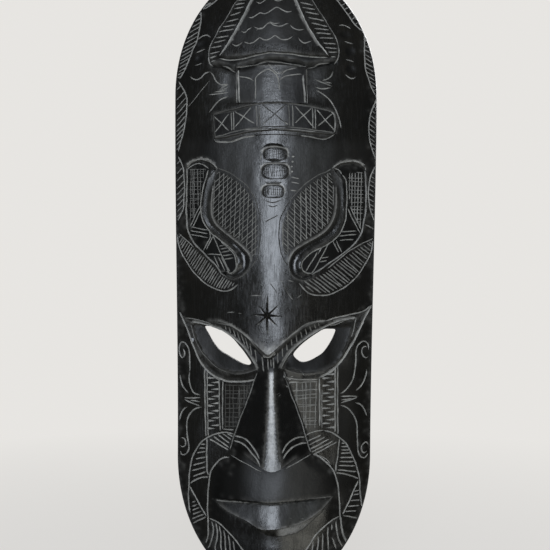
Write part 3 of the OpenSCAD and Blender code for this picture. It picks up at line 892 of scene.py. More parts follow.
# small nicks and scratches from use
for _ in range(46):
    x0, y0 = 190 + 170 * RNG.random(), -5 + 560 * RNG.random()
    a, l = RNG.random() * 6.28, 1.0 + 3.5 * RNG.random() ** 2
    if abs(x0 - 275) < 14 or RNG.random() < 0.4:
        STROKES.append(([(x0, y0), (x0 + l * math.cos(a), y0 + l * math.sin(a))], 0.55, l * 0.4, l * 0.5, 0.3, 0.7))

# ---------------------------------------------------------------------------
# Finer relief: shallow steps, channels and dishes, all from outlines
# ---------------------------------------------------------------------------
def poly_mm(text_or_pts, step=3.0):
    pts = P(text_or_pts) if isinstance(text_or_pts, str) else text_or_pts
    return lay(pts)


ROOF = lay(P(ROOF_LO) + P("222,67 228,69 234,71 240,68 250,65.3 258,63.3 265,61.5 278,61 290,62.3 300,64.7 306,67 312,66.5 320,64.5 334,64") + P(ROOF_RO)[::-1])
ROOF_IN = lay(P(ROOF_LI) + P("228,58 245,57 258,54.5 270,52.5 290,53.5 310,55.5 328,56") + P(ROOF_RI)[::-1])
EAVE = lay(P("209,59 219,58.5 232,60 245,58 258,55 270,53 290,54 310,56.5 328,57 338.5,55 337,60 334,64 320,64.5 312,66.5 306,67 300,64.7 290,62.3 278,61 265,61.5 258,63.3 250,65.3 240,68 234,71 228,69 222,67 213,66.5 210,64"))
HOUSE = lay(P("236,66 236,104 307,104 306.5,66"))
BAND = lay(P("212.5,114.5 222,111.5 232,109.5 245,106 258,103.3 280,102 295,103.6 310,105.6 322,108 331,110.5 335.8,114.5 336.7,122 336,131 333.5,134.5 320,133.8 305,132.6 290,131 275,130.2 255,131.8 245,133.3 235,135.8 225,138.3 214.5,139.5"))

CHAN_L = lay(np.vstack([spline(P(CH_L_OUT), 3), spline(P(CH_L_IN), 3)[::-1]]))
CHAN_R = lay(np.vstack([spline(P(CH_R_OUT), 3), spline(P(CH_R_IN), 3)[::-1]]))
LOBEP_L = lay(P("187,168 190,163.8 195,161.5 201,160 208,161.5 213,165 216,169") + P(CH_L_OUT)[1:] + P(LOBE_L)[::-1][:-1])
LOBEP_R = lay(P("365,168 360,163 354,161.3 347,161.7 341,163 336,166.3 334,169.5") + P(CH_R_OUT)[1:] + P(LOBE_RO)[::-1][:-1])
EYE_UP_L, EYE_DN_L, EYE_CT_L = lay(spline(P(LID_L), 4)), lay(spline(P(EYE_L_LOW), 4)), lay(spline(P(EYE_L_OUT), 4))
EYE_UP_R, EYE_DN_R, EYE_CT_R = lay(spline(P(LID_R), 4)), lay(spline(P(EYE_R_LOW), 4)), lay(spline(P(EYE_R_OUT + " 308,379 296,377 286,372.5"), 4))
ALM_L = np.vstack([EYE_UP_L, EYE_DN_L[::-1]])
ALM_R = np.vstack([EYE_UP_R, EYE_DN_R[::-1]])
SOCK_L = np.vstack([EYE_DN_L, EYE_CT_L[::-1]])
SOCK_R = np.vstack([EYE_DN_R, EYE_CT_R[::-1]])
EAVE_LOW = lay(P("213,66.5 222,67.2 228,69.4 234,71.6 240,68.6 250,65.8 258,63.8 265,62 278,61.5 290,62.8 300,65.2 306,67.3 312,67 320,64.8 330,63.5 335,61.5"))
LEDGE = lay(P("214,138 225,136.5 235,134 245,131 255,130 275,129 290,130 305,131.5 320,133 335,133 333,136 325,138.6 312,137.5 300,136 285,134.8 270,134.5 255,135.5 245,137.6 237,140.3 225,143 214,142.5"))
CHI_L, CHO_L = lay(spline(P(CH_L_IN), 3)), lay(spline(P(CH_L_OUT), 3))
CHI_R, CHO_R = lay(spline(P(CH_R_IN), 3)), lay(spline(P(CH_R_OUT), 3))
LEAFP_L, LEAFP_R = lay(leafL), lay(leafR)
BROWP = lay(P(BROW_L) + P("266.8,357.6 270.5,357.2") + P(BROW_R)[::-1] + P(LID_R)[3:] + P("276.5,372.5 262,373.5") + P(LID_L)[::-1][:-3])
PANEL_L, PANEL_R = lay(P("223,382 253.5,381 245,404 237,427 234,431 223,431")), lay(P("283.5,371 300,374.5 320,372 320,400 318.5,430 306,436 296,405"))
BOSS_MM = []
for (bx, by), ba, bb in BOSSES:
    c = lay([(bx, by)])[0]
    BOSS_MM.append((c, ba * UNIT * 0.95, bb * UNIT * 0.95))
FINGER = [((203.5, 45), 6.5, 4.6), ((199.5, 59), 5.2, 4.2), ((345, 34.5), 7, 4.6), ((350, 51), 6.5, 5.2), ((350.5, 68.5), 5.5, 5.5)]
FINGER_MM = [(lay([c])[0], a * UNIT * 0.97, b * UNIT * 0.97) for c, a, b in FINGER]


def pad(x, z, c, a, b):
    """Distance measure for a rounded-oblong boss: 1 on its edge."""
    return ((np.abs(x - c[0]) / a) ** 3 + (np.abs(z - c[1]) / b) ** 3) ** (1 / 3)


def relief(x, z):
    x = np.asarray(x, float)
    z = np.asarray(z, float)
    h = np.zeros(x.shape)
    # roof with a rolled eave, cut under where the house wall starts
    s = sd(ROOF, x, z)
    h += 2.4 * ss(-0.5, 0.6, s)
    s = sd(ROOF_IN, x, z)
    h += 0.9 * ss(-0.5, 0.5, s)
    s = sd(EAVE, x, z)
    h -= 1.9 * ss(5.0, 0.2, s) ** 1.4 * ss(-0.5, 0.3, s) * ss(-4.0, -12.0, z)
    d = path_dist(EAVE_LOW, x, z, 5.0)
    h -= 2.0 * np.exp(-(d / 0.95) ** 2)
    s = sd(HOUSE, x, z, 16.0)
    h += 0.7 * ss(-0.4, 0.4, s)
    h -= 1.5 * np.exp(-(np.minimum(s, 0) / 14.0) ** 2) * ss(0.3, -0.3, s) * ss(-49, -40, z) * ss(-8, -14, z)
    # balcony band: stands out, with a thin ledge under it
    s = sd(BAND, x, z)
    h += 3.0 * ss(-0.45, 0.45, s) - 0.7 * ss(1.0, 1.6, s)
    h += 0.8 * ss(-0.3, 0.4, sd(LEDGE, x, z)) * ss(0.2, -0.4, s)
    # bosses: low flat domes
    for c, a, b in BOSS_MM:
        r = pad(x, z, c, a, b)
        h += 0.30 * ss(1.03, 0.93, r) + 0.42 * c01(1 - r ** 2.6)
        # a thumb-cut flat above each boss
        h -= 0.5 * np.exp(-(((x - c[0]) / a) ** 2 * 1.3 + ((z - c[1] - b * 1.30) / 1.3) ** 2))
    # finger marks
    for c, a, b in FINGER_MM:
        r = np.sqrt(((x - c[0]) / a) ** 2 + ((z - c[1]) / b) ** 2)
        h -= 0.9 * c01(1 - r * r) ** 1.3
    # wings: patterned lobe set down below the brow, and a channel that runs
    # down beside it and gets deep where it turns round the lobe's tip
    for lobe, chan, leaf_side, lobe_side in ((LOBEP_L, CHAN_L, CHI_L, CHO_L), (LOBEP_R, CHAN_R, CHI_R, CHO_R)):
        s = sd(lobe, x, z)
        top = ss(-98, -91, z)
        h -= 2.2 * ss(-0.3, 0.6, s) - 0.8 * np.exp(-((s + 1.0) / 0.8) ** 2) * top
        h -= 2.6 * np.exp(-((s - 1.9) / 1.5) ** 2) * top
        s = sd(chan, x, z)
        di, do = path_dist(leaf_side, x, z, 20), path_dist(lobe_side, x, z, 20)
        r = di / (di + do + 1e-6)
        deep = 1.5 + 3.5 * ss(-118, -168, z)
        q = ss(0.45, 1.0, r)
        prof = c01(r / 0.30)
        far = 0.3 + 1.9 * ss(-112, -150, z)
        low = ss(-106, -130, z)
        # at the top it is one slanting facet, lower down a gouged hollow
        facet = 0.35 + (deep - 0.35) * (1 - r)
        scoop = deep * (1 - (1 - prof) ** 2) * (1 - q) + far * q
        h -= (facet * (1 - low) + scoop * low) * ss(-0.1, 0.25, s)
    # eyes: deepest under the lid, rising to the lower rim, then a bevel to the cheek
    for alm, up, dn, sock, ct in ((ALM_L, EYE_UP_L, EYE_DN_L, SOCK_L, EYE_CT_L), (ALM_R, EYE_UP_R, EYE_DN_R, SOCK_R, EYE_CT_R)):
        s = sd(alm, x, z, 20)
        du, dd = path_dist(up, x, z, 40), path_dist(dn, x, z, 40)
        r = dd / (du + dd + 1e-6)
        nose_side = ss(44, 14, np.abs(x + 2))
        low = 0.10 + 0.42 * nose_side
        h -= 6.0 * (low + (1 - low) * r ** 0.9) * ss(0.0, 0.8, s) * c01(0.35 + (du + dd) / 15)
        s = sd(sock, x, z, 20)
        db, dc = path_dist(dn, x, z, 40), path_dist(ct, x, z, 40)
        r = db / (db + dc + 1e-6)
        h -= (0.4 + 2.2 * r) * ss(-0.1, 0.6, s) * (1 - 0.6 * nose_side)
    return h * rim_fade(x, z)


def edge_highlight_and_wear(x, z):
    """Painted highlights along raised edges that catch the lamps: band, roof beams, lobe rims, leaf edges, upper lids,
    brow and its tip, nose ridge, lip edges and boss tops; a painted lit facet under the lower lip on the right; and the
    stain rubbed thin on those edges.
    """
    w = np.zeros(x.shape)

    def add(s, at, width, k):
        nonlocal w
        w = np.maximum(w, k * np.exp(-((s - at) / width) ** 2))   # k may vary over the face

    # painted highlights along the band's edge and the roof's inner beams
    add(sd(BAND, x, z), 0.7, 0.45, 0.25)
    add(np.where(np.abs(x) < 60, sd(ROOF_IN, x, z), 9) * np.where(z > 0, 1.0, 9.0), 0.6, 0.5, 0.8)
    # painted lit facet under the lower lip, on the right side only
    su, r = sd(UNDLIP, x, z), ss(1, 7, x) * (1 - 0.45 * ss(14, 30, x))
    w = np.maximum(w, 1.0 * ss(0.2, 1.2, su) * r)
    # painted highlights on the lobes' top rims and on the leaf edges along the channels
    for lobe, leaf, k in ((LOBEP_L, CHI_L, 1.0), (LOBEP_R, CHI_R, 1.0)):
        s = sd(lobe, x, z)
        add(np.where(z > -94, s, -9), -0.7, 0.6, 1.0)
        d = path_dist(leaf, x, z, 6.0)
        inner = sd(CHAN_L if leaf is CHI_L else CHAN_R, x, z)
        add(np.where((inner < 0.05) & (z < -112) & (z > -172), d, 9), 0.55, 0.6, k)
    # painted highlights along the upper lids
    for up in (EYE_UP_L, EYE_UP_R):
        add(path_dist(up, x, z, 6.0), 0.6, 0.33, 0.6)
    # painted highlights along the brow's lower edge and at its tip
    bz = brow_z(x)
    add(np.where(np.abs(x + 3) < 42, z - bz, 9), 0.7, 0.55, 0.8 + 0 * x)
    add(np.where((np.abs(x + 5) < 9) & (z > bz - 0.5), z - bz, 9), 0.9, 0.8, 1.3 * np.exp(-((x + 5) / 6.0) ** 2))
    # painted highlight along the nose ridge and its edges
    c = nose_c(z)
    u = c01((-256 - z) / 78)
    top = 1.9 + 5.4 * u ** 1.6
    on = (z < -258) & (z > nose_low(x, z) + 0.3)
    add(np.where(on, np.abs(np.abs(x - c) - top + 0.25), 9), 0.0, 0.4, 0.35)
    w = np.maximum(w, 0.75 * on * ss(0.6, -0.7, np.abs(x - c) - 0.55 * top) * ss(-258.5, -261.5, z) * (1 + 0.5 * ss(-285, -262, z)) * (1 - 0.55 * ss(-312, -328, z)))
    # painted highlight on the tip of the brow, made patchy by noise as if pitted
    w = np.maximum(w, (0.55 + 0.30 * vnoise(x, z, 0.9, 0.9, 5)) * np.exp(-((x + 5) / 6.5) ** 2) * np.exp(-((z - bz - 3.0) / 3.2) ** 2) * (z > bz))
    # painted highlights along the lip edges
    up = z > np.interp(x, LIP_TOP[:, 0], LIP_TOP[:, 1])
    kk = np.where(up, (0.95 - 0.35 * ss(14, 26, x)) * ss(-13, -7, x), 0.8 * ss(18, 8, x))
    add(np.where(np.abs(x) < 46, path_dist(LIP_TOP, x, z, 6.0), 9), np.where(up, 1.0, 0.85), 0.40, kk)
    add(path_dist(LIP_LOW, x, z, 6.0), 0.0, 0.6, 0.38 * ss(-2, 8, x))
    # painted highlight on the upper rim of each boss
    for c, a, b in BOSS_MM:
        r = pad(x, z, c, a, b)
        add((r - 1.06) * b, 0.0, 0.27, 0.95 * ss(-0.35, 0.25, (z - c[1]) / b + 0.25 * (x - c[0]) / a))
    return w


def dry_and_painted_light(x, z):
    """Fields where fine cutting has left the wood greyer and duller, and painted light: a lit facet on the right of the
    lower lip, a sheen on the forehead beside the centre, lit upper sides of the channels, and light in the hollows
    beside the house.
    """
    d = np.zeros(x.shape)
    for poly, k in ((LEAFP_L, 0.08), (LEAFP_R, 0.14), (PANEL_L, 0.02), (PANEL_R, 0.25)):
        d = np.maximum(d, k * ss(-1.2, 1.5, sd(poly, x, z)))
    # painted lit facet on the right of the lower lip
    d = np.maximum(d, 0.58 * ss(0, 1, sd(LOWLIP, x, z)) * ss(4, 16, x))
    # painted sheen on the forehead either side of the centre
    fr = ss(-73, -84, z) * ss(-130, -104, z)
    d = np.maximum(d, fr * (0.40 * ss(11, 19, x) * ss(54, 36, x) + 0.17 * ss(-14, -22, x) * ss(-58, -40, x)))
    # painted light on the flat upper side of the channels, stronger on the left
    d = np.maximum(d, 0.40 * ss(0.2, 1.2, sd(CHAN_L, x, z)) * ss(-150, -128, z))
    d = np.maximum(d, 0.20 * ss(0.2, 1.2, sd(CHAN_R, x, z)) * ss(-150, -128, z))
    # painted light in the hollows beside the house
    s = sd(HOUSE, x, z, 30.0)
    d = np.maximum(d, 0.22 * ss(0.0, -1.0, s) * ss(-30, -12, s) * ss(-50, -40, z) * ss(-6, -16, z))
    return d


def pooled_stain_and_shade(x, z):
    """Sunk places that kept the darkest stain, and painted shade: the lobes, the deep channel ends, the eave, the
    brow's chamfer, the eyes, the band's flanks, the nose's flanks, a shadow line under the nose, and the left of the
    lips and chin; also darker inner fields of the leaves.
    """
    d = np.zeros(x.shape)
    # painted shade in the sunk lobes and, lower down, in the deep ends of the channels
    for poly, k in ((LOBEP_L, 1.0), (LOBEP_R, 0.9)):
        d = np.maximum(d, k * ss(-0.2, 1.2, sd(poly, x, z)))
    for poly in (CHAN_L, CHAN_R):
        inn = ss(-0.1, 0.8, sd(poly, x, z))
        d = np.maximum(d * (1 - inn), inn * ss(-132, -168, z))
    for c, a, b in FINGER_MM:
        r = np.sqrt(((x - c[0]) / a) ** 2 + ((z - c[1]) / b) ** 2)
        d = np.maximum(d, 0.8 * ss(1.0, 0.7, r))
    # painted shade under the eave
    d = np.maximum(d, np.exp(-(path_dist(EAVE_LOW, x, z, 9.0) / 2.6) ** 2))
    d = np.maximum(d, 0.9 * ss(0.0, 1.0, sd(EAVE, x, z)))
    # painted shade on the brow's chamfer
    d = np.maximum(d, ss(-0.1, 0.6, sd(BROWP, x, z)))
    # darker inner fields of the leaves
    for poly in (LEAFP_L, LEAFP_R):
        d = np.maximum(d, 0.9 * ss(1.0, 6.0, sd(poly, x, z)))
    # painted shade on the flanks of the nose and on the left of the lips and chin
    c = nose_c(z)
    u = c01((-256 - z) / 78)
    out = 10.5 + 22.0 * c01((-256 - z) / 66)
    ax = np.abs(x - c)
    d = np.maximum(d, 0.9 * ss(0, 2, ax - (1.9 + 5.4 * u ** 1.6)) * ss(0.5, -1, ax - out) * ss(-256, -262, z) * (z > nose_low(x, z)))
    d = np.maximum(d, 0.9 * ss(0, 4, sd(MUZZLE, x, z, 8.0)) * ss(2, -16, x) * (z < nose_low(x, z)))
    # painted shade in the eyes
    for s, alm in ((1, ALM_L), (1, ALM_R)):
        d = np.maximum(d, 0.85 * ss(0, 1.5, sd(alm, x, z)) * ss(62, 26, np.abs(x + 1)))
    # painted shadow line under the nose
    d = np.maximum(d, (ax < 32) * np.exp(-((z - nose_low(x, z) + 0.9) / 1.0) ** 2))
    # painted shade on the band's flanks
    d = np.maximum(d, 0.6 * ss(0.4, 1.2, sd(BAND, x, z)) * ss(9, 15, np.abs(x + 3.3)))
    return d


def matte(x, z):
    """Sunk or closely cut places the polishing cloth did not reach."""
    d = np.zeros(x.shape)
    for poly in (LOBEP_L, LOBEP_R):
        d = np.maximum(d, 0.85 * ss(-0.2, 1.0, sd(poly, x, z)))
    for poly in (CHAN_L, CHAN_R):
        d = d * (1 - ss(-0.1, 0.6, sd(poly, x, z)))
    for poly in (LEAFP_L, LEAFP_R):
        d = np.maximum(d, 0.78 * ss(-0.2, 1.0, sd(poly, x, z)))
    for alm in (ALM_L, ALM_R):
        d = np.maximum(d, 0.85 * ss(0.2, 1.6, sd(alm, x, z)))
    d = np.maximum(d, 0.75 * ss(-0.1, 0.6, sd(BROWP, x, z)))
    d = np.maximum(d, 0.7 * ss(0.0, 1.0, sd(EAVE, x, z)))
    d = np.maximum(d, 0.9 * np.exp(-(path_dist(EAVE_LOW, x, z, 9.0) / 1.6) ** 2))
    for c, a, b in FINGER_MM:
        r = np.sqrt(((x - c[0]) / a) ** 2 + ((z - c[1]) / b) ** 2)
        d = np.maximum(d, 0.5 * ss(1.0, 0.7, r))
    d = np.maximum(d, (np.abs(x - nose_c(z)) < 32) * np.exp(-((z - nose_low(x, z) + 0.9) / 1.0) ** 2))
    d = np.maximum(d, 0.45 * ss(0.2, 1.0, sd(BAND, x, z)) * ss(7, 13, np.abs(x + 3.3)))
    d = np.maximum(d, 0.42 * ss(0.5, 2.0, sd(HOUSE, x, z, 30.0)) * ss(5.5, 8.5, np.abs(x + 3.3)))
    d = np.maximum(d, 0.48 * ss(0, 3, sd(ROOF_IN, x, z)) * (z > 0))
    nu = c01((-256 - z) / 78)
    na = np.abs(x - nose_c(z)) - (1.9 + 5.4 * nu ** 1.6)
    d = np.maximum(d, 0.85 * ss(1.5, 5.0, na) * (z > nose_low(x, z)) * ss(-305, -318, z) * (na < 30))
    d = np.maximum(d, 0.45 * ss(0, 1, sd(LOWLIP, x, z)) * ss(4.5, 11, np.abs(x + 3.5)))
    d = np.maximum(d, 0.95 * ss(47, 53, x) * ss(-372, -350, z) * ss(-240, -262, z))
    mouth = np.interp(x, LIP_TOP[:, 0], LIP_TOP[:, 1])
    d = np.maximum(d, 0.85 * ss(0, 6, sd(MUZZLE, x, z, 12.0)) * (z > mouth) * ss(-17, -30, x))
    d = np.maximum(d, 0.40 * ss(0, 6, sd(MUZZLE, x, z, 12.0)) * ss(-1.0, 1.0, z - mouth) * (z < nose_low(x, z)) * ss(26, 8, np.abs(x)))
    return d


def satin(x, z):
    """Rubbed down but not buffed: the flat of the upper lip and the chin."""
    s = sd(MUZZLE, x, z, 12.0)
    mouth = np.interp(x, LIP_TOP[:, 0], LIP_TOP[:, 1])
    up = ss(0, 6, s) * ss(-1.0, 1.0, z - mouth) * (z < nose_low(x, z) + 0.5)
    return np.maximum(up, 0.75 * ss(-69, -80, z) * ss(-135, -105, z) * ss(9, 17, np.abs(x + 3)))


# value noise for the knife-worked surface
def lattice(seed, nx, nz):
    return np.random.default_rng(seed).normal(size=(nx, nz))


LAT = [lattice(s, 96, 160) for s in range(8)]


def vnoise(x, z, sx, sz, k):
    u, v = (x + 200) / sx, (z + 600) / sz
    i, j = np.floor(u).astype(int), np.floor(v).astype(int)
    fu, fv = u - i, v - j
    fu, fv = fu * fu * (3 - 2 * fu), fv * fv * (3 - 2 * fv)
    g = LAT[k]
    i0, i1, j0, j1 = i % 96, (i + 1) % 96, j % 160, (j + 1) % 160
    return (g[i0, j0] * (1 - fu) * (1 - fv) + g[i1, j0] * fu * (1 - fv) + g[i0, j1] * (1 - fu) * fv + g[i1, j1] * fu * fv)


def hand(x, z):
    """Slight waviness left by the knife and by rubbing down."""
    return (0.16 * vnoise(x, z, 15, 26, 0) + 0.075 * vnoise(x, z, 6.5, 13, 1) + 0.018 * vnoise(x, z, 2.6, 6.0, 2)) * rim_fade(x, z)


def smooth_height(x, z):
    return form(x, z) + relief(x, z) + hand(x, z)


# ---------------------------------------------------------------------------
# Front mesh
# ---------------------------------------------------------------------------
class Net:
    """Collects points and the edges that the triangulation must keep."""

    def __init__(self):
        self.pts, self.edges = [], []
        self.n = 0

    def line(self, p, closed=False):
        p = np.asarray(p, float)
        k = np.arange(self.n, self.n + len(p))
        self.pts.append(p)
        e = np.stack([k[:-1], k[1:]], 1)
        if closed:
            e = np.vstack([e, [[k[-1], k[0]]]])
        self.edges.append(e)
        self.n += len(p)

    def points(self, p):
        if len(p):
            self.pts.append(np.asarray(p, float))
            self.n += len(p)


def normals2(p):
    t = np.gradient(p, axis=0)
    t /= np.linalg.norm(t, axis=1)[:, None] + 1e-12
    return np.stack([-t[:, 1], t[:, 0]], 1)


def outline_ring(inset, step=1.9):
    """The mask's outline, inset by some mm, as an even closed ring."""
    th = np.linspace(0, math.pi / 2, 60)
    zt = SHOULDER_Z + (TOP_Z - SHOULDER_Z) * np.sin(th)
    zb = JAW_Z + (BOTTOM_Z - JAW_Z) * np.sin(th)
    zm = np.linspace(SHOULDER_Z, JAW_Z, 60)[1:-1]
    zs = np.r_[zt[::-1], zm, zb]
    right = np.stack([half_w(zs), zs], 1)
    ring = np.vstack([right, right[::-1][1:-1] * [-1, 1]])
    # even spacing
    q = np.vstack([ring, ring[:1]])
    s = np.r_[0, np.cumsum(np.linalg.norm(np.diff(q, axis=0), axis=1))]
    n = int(s[-1] / step)
    u = np.linspace(0, s[-1], n + 1)[:-1]
    r = np.stack([np.interp(u, s, q[:, k]) for k in (0, 1)], 1)
    if inset:
        g = (np.roll(r, -1, 0) - np.roll(r, 1, 0))
        g /= np.linalg.norm(g, axis=1)[:, None]
        nrm = np.stack([g[:, 1], -g[:, 0]], 1)
        c = r.mean(0)
        flip = np.sign(((c - r) * nrm).sum(1))
        r = r + nrm * flip[:, None] * inset
    return r


def groove_lines():
    """Each cut as centre points with half widths and depths, in mm."""
    out = []
    for pts, w, t0, t1, k, dc in STROKES:
        u = spline(pts, 1.55)
        p = lay(u)
        if len(p) < 2:
            continue
        s = np.r_[0, np.cumsum(np.linalg.norm(np.diff(u, axis=0), axis=1))]
        L = s[-1]
        tt0, tt1 = max(0.05, min(t0, L * 0.45)), max(0.05, min(t1, L * 0.95 if t0 < 0.3 else L * 0.45))
        prof = np.minimum(1, (s / tt0 + 0.02) ** 0.7) * np.minimum(1, ((L - s) / tt1 + 0.02) ** 0.8)
        prof = np.clip(prof, 0.12, 1)
        dc = np.full(len(p), float(dc))
        # over the centre sheen the cuts are left darker: painted shade
        if dc[0] < 1.2:
            zz = p[:, 1]
            on = ((zz < -43) & (zz > -63)) | ((zz <= -63) & (zz > -300) & (len(pts) > 2))
            dc = np.where(on, dc * (0.25 + 0.75 * ss(7, 17, np.abs(p[:, 0] + 1))), dc)
        ph = RNG.random(3) * 6.28
        prof = prof * (1 + 0.10 * np.sin(s * 0.55 + ph[0]) + 0.06 * np.sin(s * 1.3 + ph[1]))
        hw = 0.44 * w * UNIT * prof
        # hand wobble, only on longer cuts
        nn = normals2(p)
        wob = 0.12 * np.sin(s * 0.33 + ph[2]) * np.minimum(1, s / 4) * np.minimum(1, (L - s) / 4)
        p = p + nn * wob[:, None]
        out.append((p, nn, hw, hw * 2.15 * k, dc))
    return out


def build_front():
    net = Net()
    ring = outline_ring(0)
    net.line(ring, closed=True)
    for ins in (0.8, 1.7, 3.2):
        net.points(outline_ring(ins, 2.0))
    # slits
    slits = [lay(spline(s, 1.6, closed=True)) for s in (SLIT_L, SLIT_R)]
    for s in slits:
        net.line(s, closed=True)
    grooves = groove_lines()
    keep = []
    for p, nn, hw, dep, dc in grooves:
        w = half_w(p[:, 1])
        ok = (np.abs(p[:, 0]) < w - 0.9) & (p[:, 1] < TOP_Z - 1.5) & (p[:, 1] > BOTTOM_Z + 1.5)
        for s in slits:
            ok &= sd(s, p[:, 0], p[:, 1], 3.0) < -(hw + 0.35)
        # longest run that is on the face
        i = 0
        while i < len(p):
            if ok[i]:
                j = i
                while j + 1 < len(p) and ok[j + 1]:
                    j += 1
                if j - i >= 1:
                    keep.append((p[i:j + 1], nn[i:j + 1], hw[i:j + 1], dep[i:j + 1], dc[i:j + 1]))
                i = j + 1
            else:
                i += 1
    for p, nn, hw, dep, dc in keep:
        a, b = p + nn * hw[:, None], p - nn * hw[:, None]
        net.line(p)
        net.line(np.vstack([a, b[::-1]]), closed=True)
    # lines where the relief turns, so steps stay crisp
    feats = []
    for poly, offs in ((ROOF, (-0.5, 0.6)), (ROOF_IN, (-0.5, 0.5)), (BAND, (-0.45, 0.45, 1.0, 1.6)), (HOUSE, (-0.4, 0.4)), (LEDGE, (-0.3, 0.4)),
                       (CHAN_L, (-0.1, 0.25)), (CHAN_R, (-0.1, 0.25)), (LOBEP_L, (-0.3, 0.8)), (LOBEP_R, (-0.3, 0.8)),
                       (ALM_L, (0.0, 0.8)), (ALM_R, (0.0, 0.8)), (SOCK_L, (-0.1, 0.6)), (SOCK_R, (-0.1, 0.6)),
                       (LOWLIP, (0.0,)), (UNDLIP, (0.0,))):
        q = np.vstack([poly, poly[:1]])
        s = np.r_[0, np.cumsum(np.linalg.norm(np.diff(q, axis=0), axis=1))]
        n = max(12, int(s[-1] / 1.5))
        u = np.linspace(0, s[-1], n + 1)
        r = np.stack([np.interp(u, s, q[:, k]) for k in (0, 1)], 1)
        nn = normals2(r)
        sign = 1 if sd(poly, *(r[n // 3] + nn[n // 3] * 0.4).reshape(2, 1))[0] > 0 else -1
        for o in offs:
            feats.append(r[:-1] + sign * nn[:-1] * o)
    zz = np.linspace(-250, -337, 60)
    for s in (-1, 1):
        u = c01((-256 - zz) / 78)
        top = 1.9 + 5.4 * u ** 1.6
        out = 10.5 + 22.0 * c01((-256 - zz) / 66)
        feats.append(np.stack([nose_c(zz) + s * top, zz], 1))
        feats.append(np.stack([nose_c(zz) + s * out, zz], 1))
    xx = np.linspace(-36, 31, 60)
    for o in (-1.6, -0.5, 0.6):
        feats.append(np.stack([xx, nose_low(xx, 0) + o], 1))
    xx = np.linspace(-46, 46, 60)
    for o in (0.3, -1.6, -3.4, -5.3):
        feats.append(np.stack([xx, brow_z(xx) + o], 1))
    for path, offs in ((CHI_L, (1.3, 2.4, 3.6)), (CHI_R, (-1.3, -2.4, -3.6))):
        c = spline(path, 1.4)
        for o in offs:
            feats.append(c + normals2(c) * o)
            feats.append(c - normals2(c) * o)
    for o in (-1.2, -0.6, 0.0, 0.6, 1.2):
        c = spline(EAVE_LOW, 1.4)
        feats.append(c + normals2(c) * o)
    for o in (-1.5, -0.9, -0.45, 0.0, 0.45, 0.9, 1.5):
        c = spline(CREASE, 1.3)
        feats.append(c + normals2(c) * o)
    for r in feats:
        ok = np.abs(r[:, 0]) < half_w(r[:, 1]) - 0.8
        for q in slits:
            ok &= sd(q, r[:, 0], r[:, 1], 3.0) < -0.45
        i = 0
        while i < len(r):
            if not ok[i]:
                i += 1
                continue
            j = i
            while j + 1 < len(r) and ok[j + 1] and np.linalg.norm(r[j + 1] - r[j]) < 4.5:
                j += 1
            if j > i:
                net.line(r[i:j + 1])
            i = j + 1
    # background points
    h = 1.55
    rows = np.arange(BOTTOM_Z + 0.7, TOP_Z - 0.7, h * 0.866)
    bg = []
    for i, z in enumerate(rows):
        w = float(half_w(z)) - 4.2
        if w <= 1:
            continue
        xs = np.arange(-math.floor(w / h) * h, w, h) + (h / 2 if i % 2 else 0)
        xs = xs[np.abs(xs) < w]
        bg.append(np.stack([xs, np.full(len(xs), z)], 1))
    bg = np.vstack(bg)
    bg += RNG.normal(size=bg.shape) * 0.12
    ok = np.ones(len(bg), bool)
    for s in slits:
        ok &= sd(s, bg[:, 0], bg[:, 1], 3.0) < -0.6
    bg = bg[ok]

    def thin(cand, solid, gap):
        """Drop candidates that crowd points already taken."""
        cell = gap
        key = lambda a: (np.floor(a[:, 0] / cell).astype(int), np.floor(a[:, 1] / cell).astype(int))
        grid = {}
        kx, kz = key(solid)
        for i, (a, b) in enumerate(zip(kx, kz)):
            grid.setdefault((a, b), []).append(i)
        kx, kz = key(cand)
        good = []
        g2 = gap * gap
        for i, (a, b) in enumerate(zip(kx, kz)):
            p = cand[i]
            hit = False
            for da in (-1, 0, 1):
                for db in (-1, 0, 1):
                    for j in grid.get((a + da, b + db), ()):
                        q = solid[j]
                        if (q[0] - p[0]) ** 2 + (q[1] - p[1]) ** 2 < g2:
                            hit = True
                            break
                    if hit:
                        break
                if hit:
                    break
            if not hit:
                good.append(i)
        return cand[good]

    bg = thin(bg, np.vstack(net.pts), 0.85)
    net.points(bg)
    pts = np.vstack(net.pts)
    edges = np.vstack(net.edges)
    res = delaunay_2d_cdt([Vector(p) for p in pts], [tuple(int(v) for v in e) for e in edges], [], 0, 1e-5, False)
    v = np.array([(a.x, a.y) for a in res[0]])
    f = np.array([t for t in res[2] if len(t) == 3], int)
    # orientation and removal of what lies outside or in the slits
    a, b, c = v[f[:, 0]], v[f[:, 1]], v[f[:, 2]]
    area = 0.5 * ((b[:, 0] - a[:, 0]) * (c[:, 1] - a[:, 1]) - (b[:, 1] - a[:, 1]) * (c[:, 0] - a[:, 0]))
    flip = area < 0
    f[flip] = f[flip][:, ::-1]
    cen = (a + b + c) / 3
    ok = inside(ring, cen[:, 0], cen[:, 1])
    for s in slits:
        ok &= ~inside(s, cen[:, 0], cen[:, 1])
    f, cen = f[ok], cen[ok]
    used = np.unique(f)
    remap = -np.ones(len(v), int)
    remap[used] = np.arange(len(used))
    v, f = v[used], remap[f]
    # groove depth at every vertex, and which triangles lie in a groove
    n_seg = []
    for p, nn, hw, dep, dc in keep:
        for i in range(len(p) - 1):
            n_seg.append((p[i], p[i + 1], hw[i], hw[i + 1], dep[i], dep[i + 1], 0.5 * (dc[i] + dc[i + 1])))

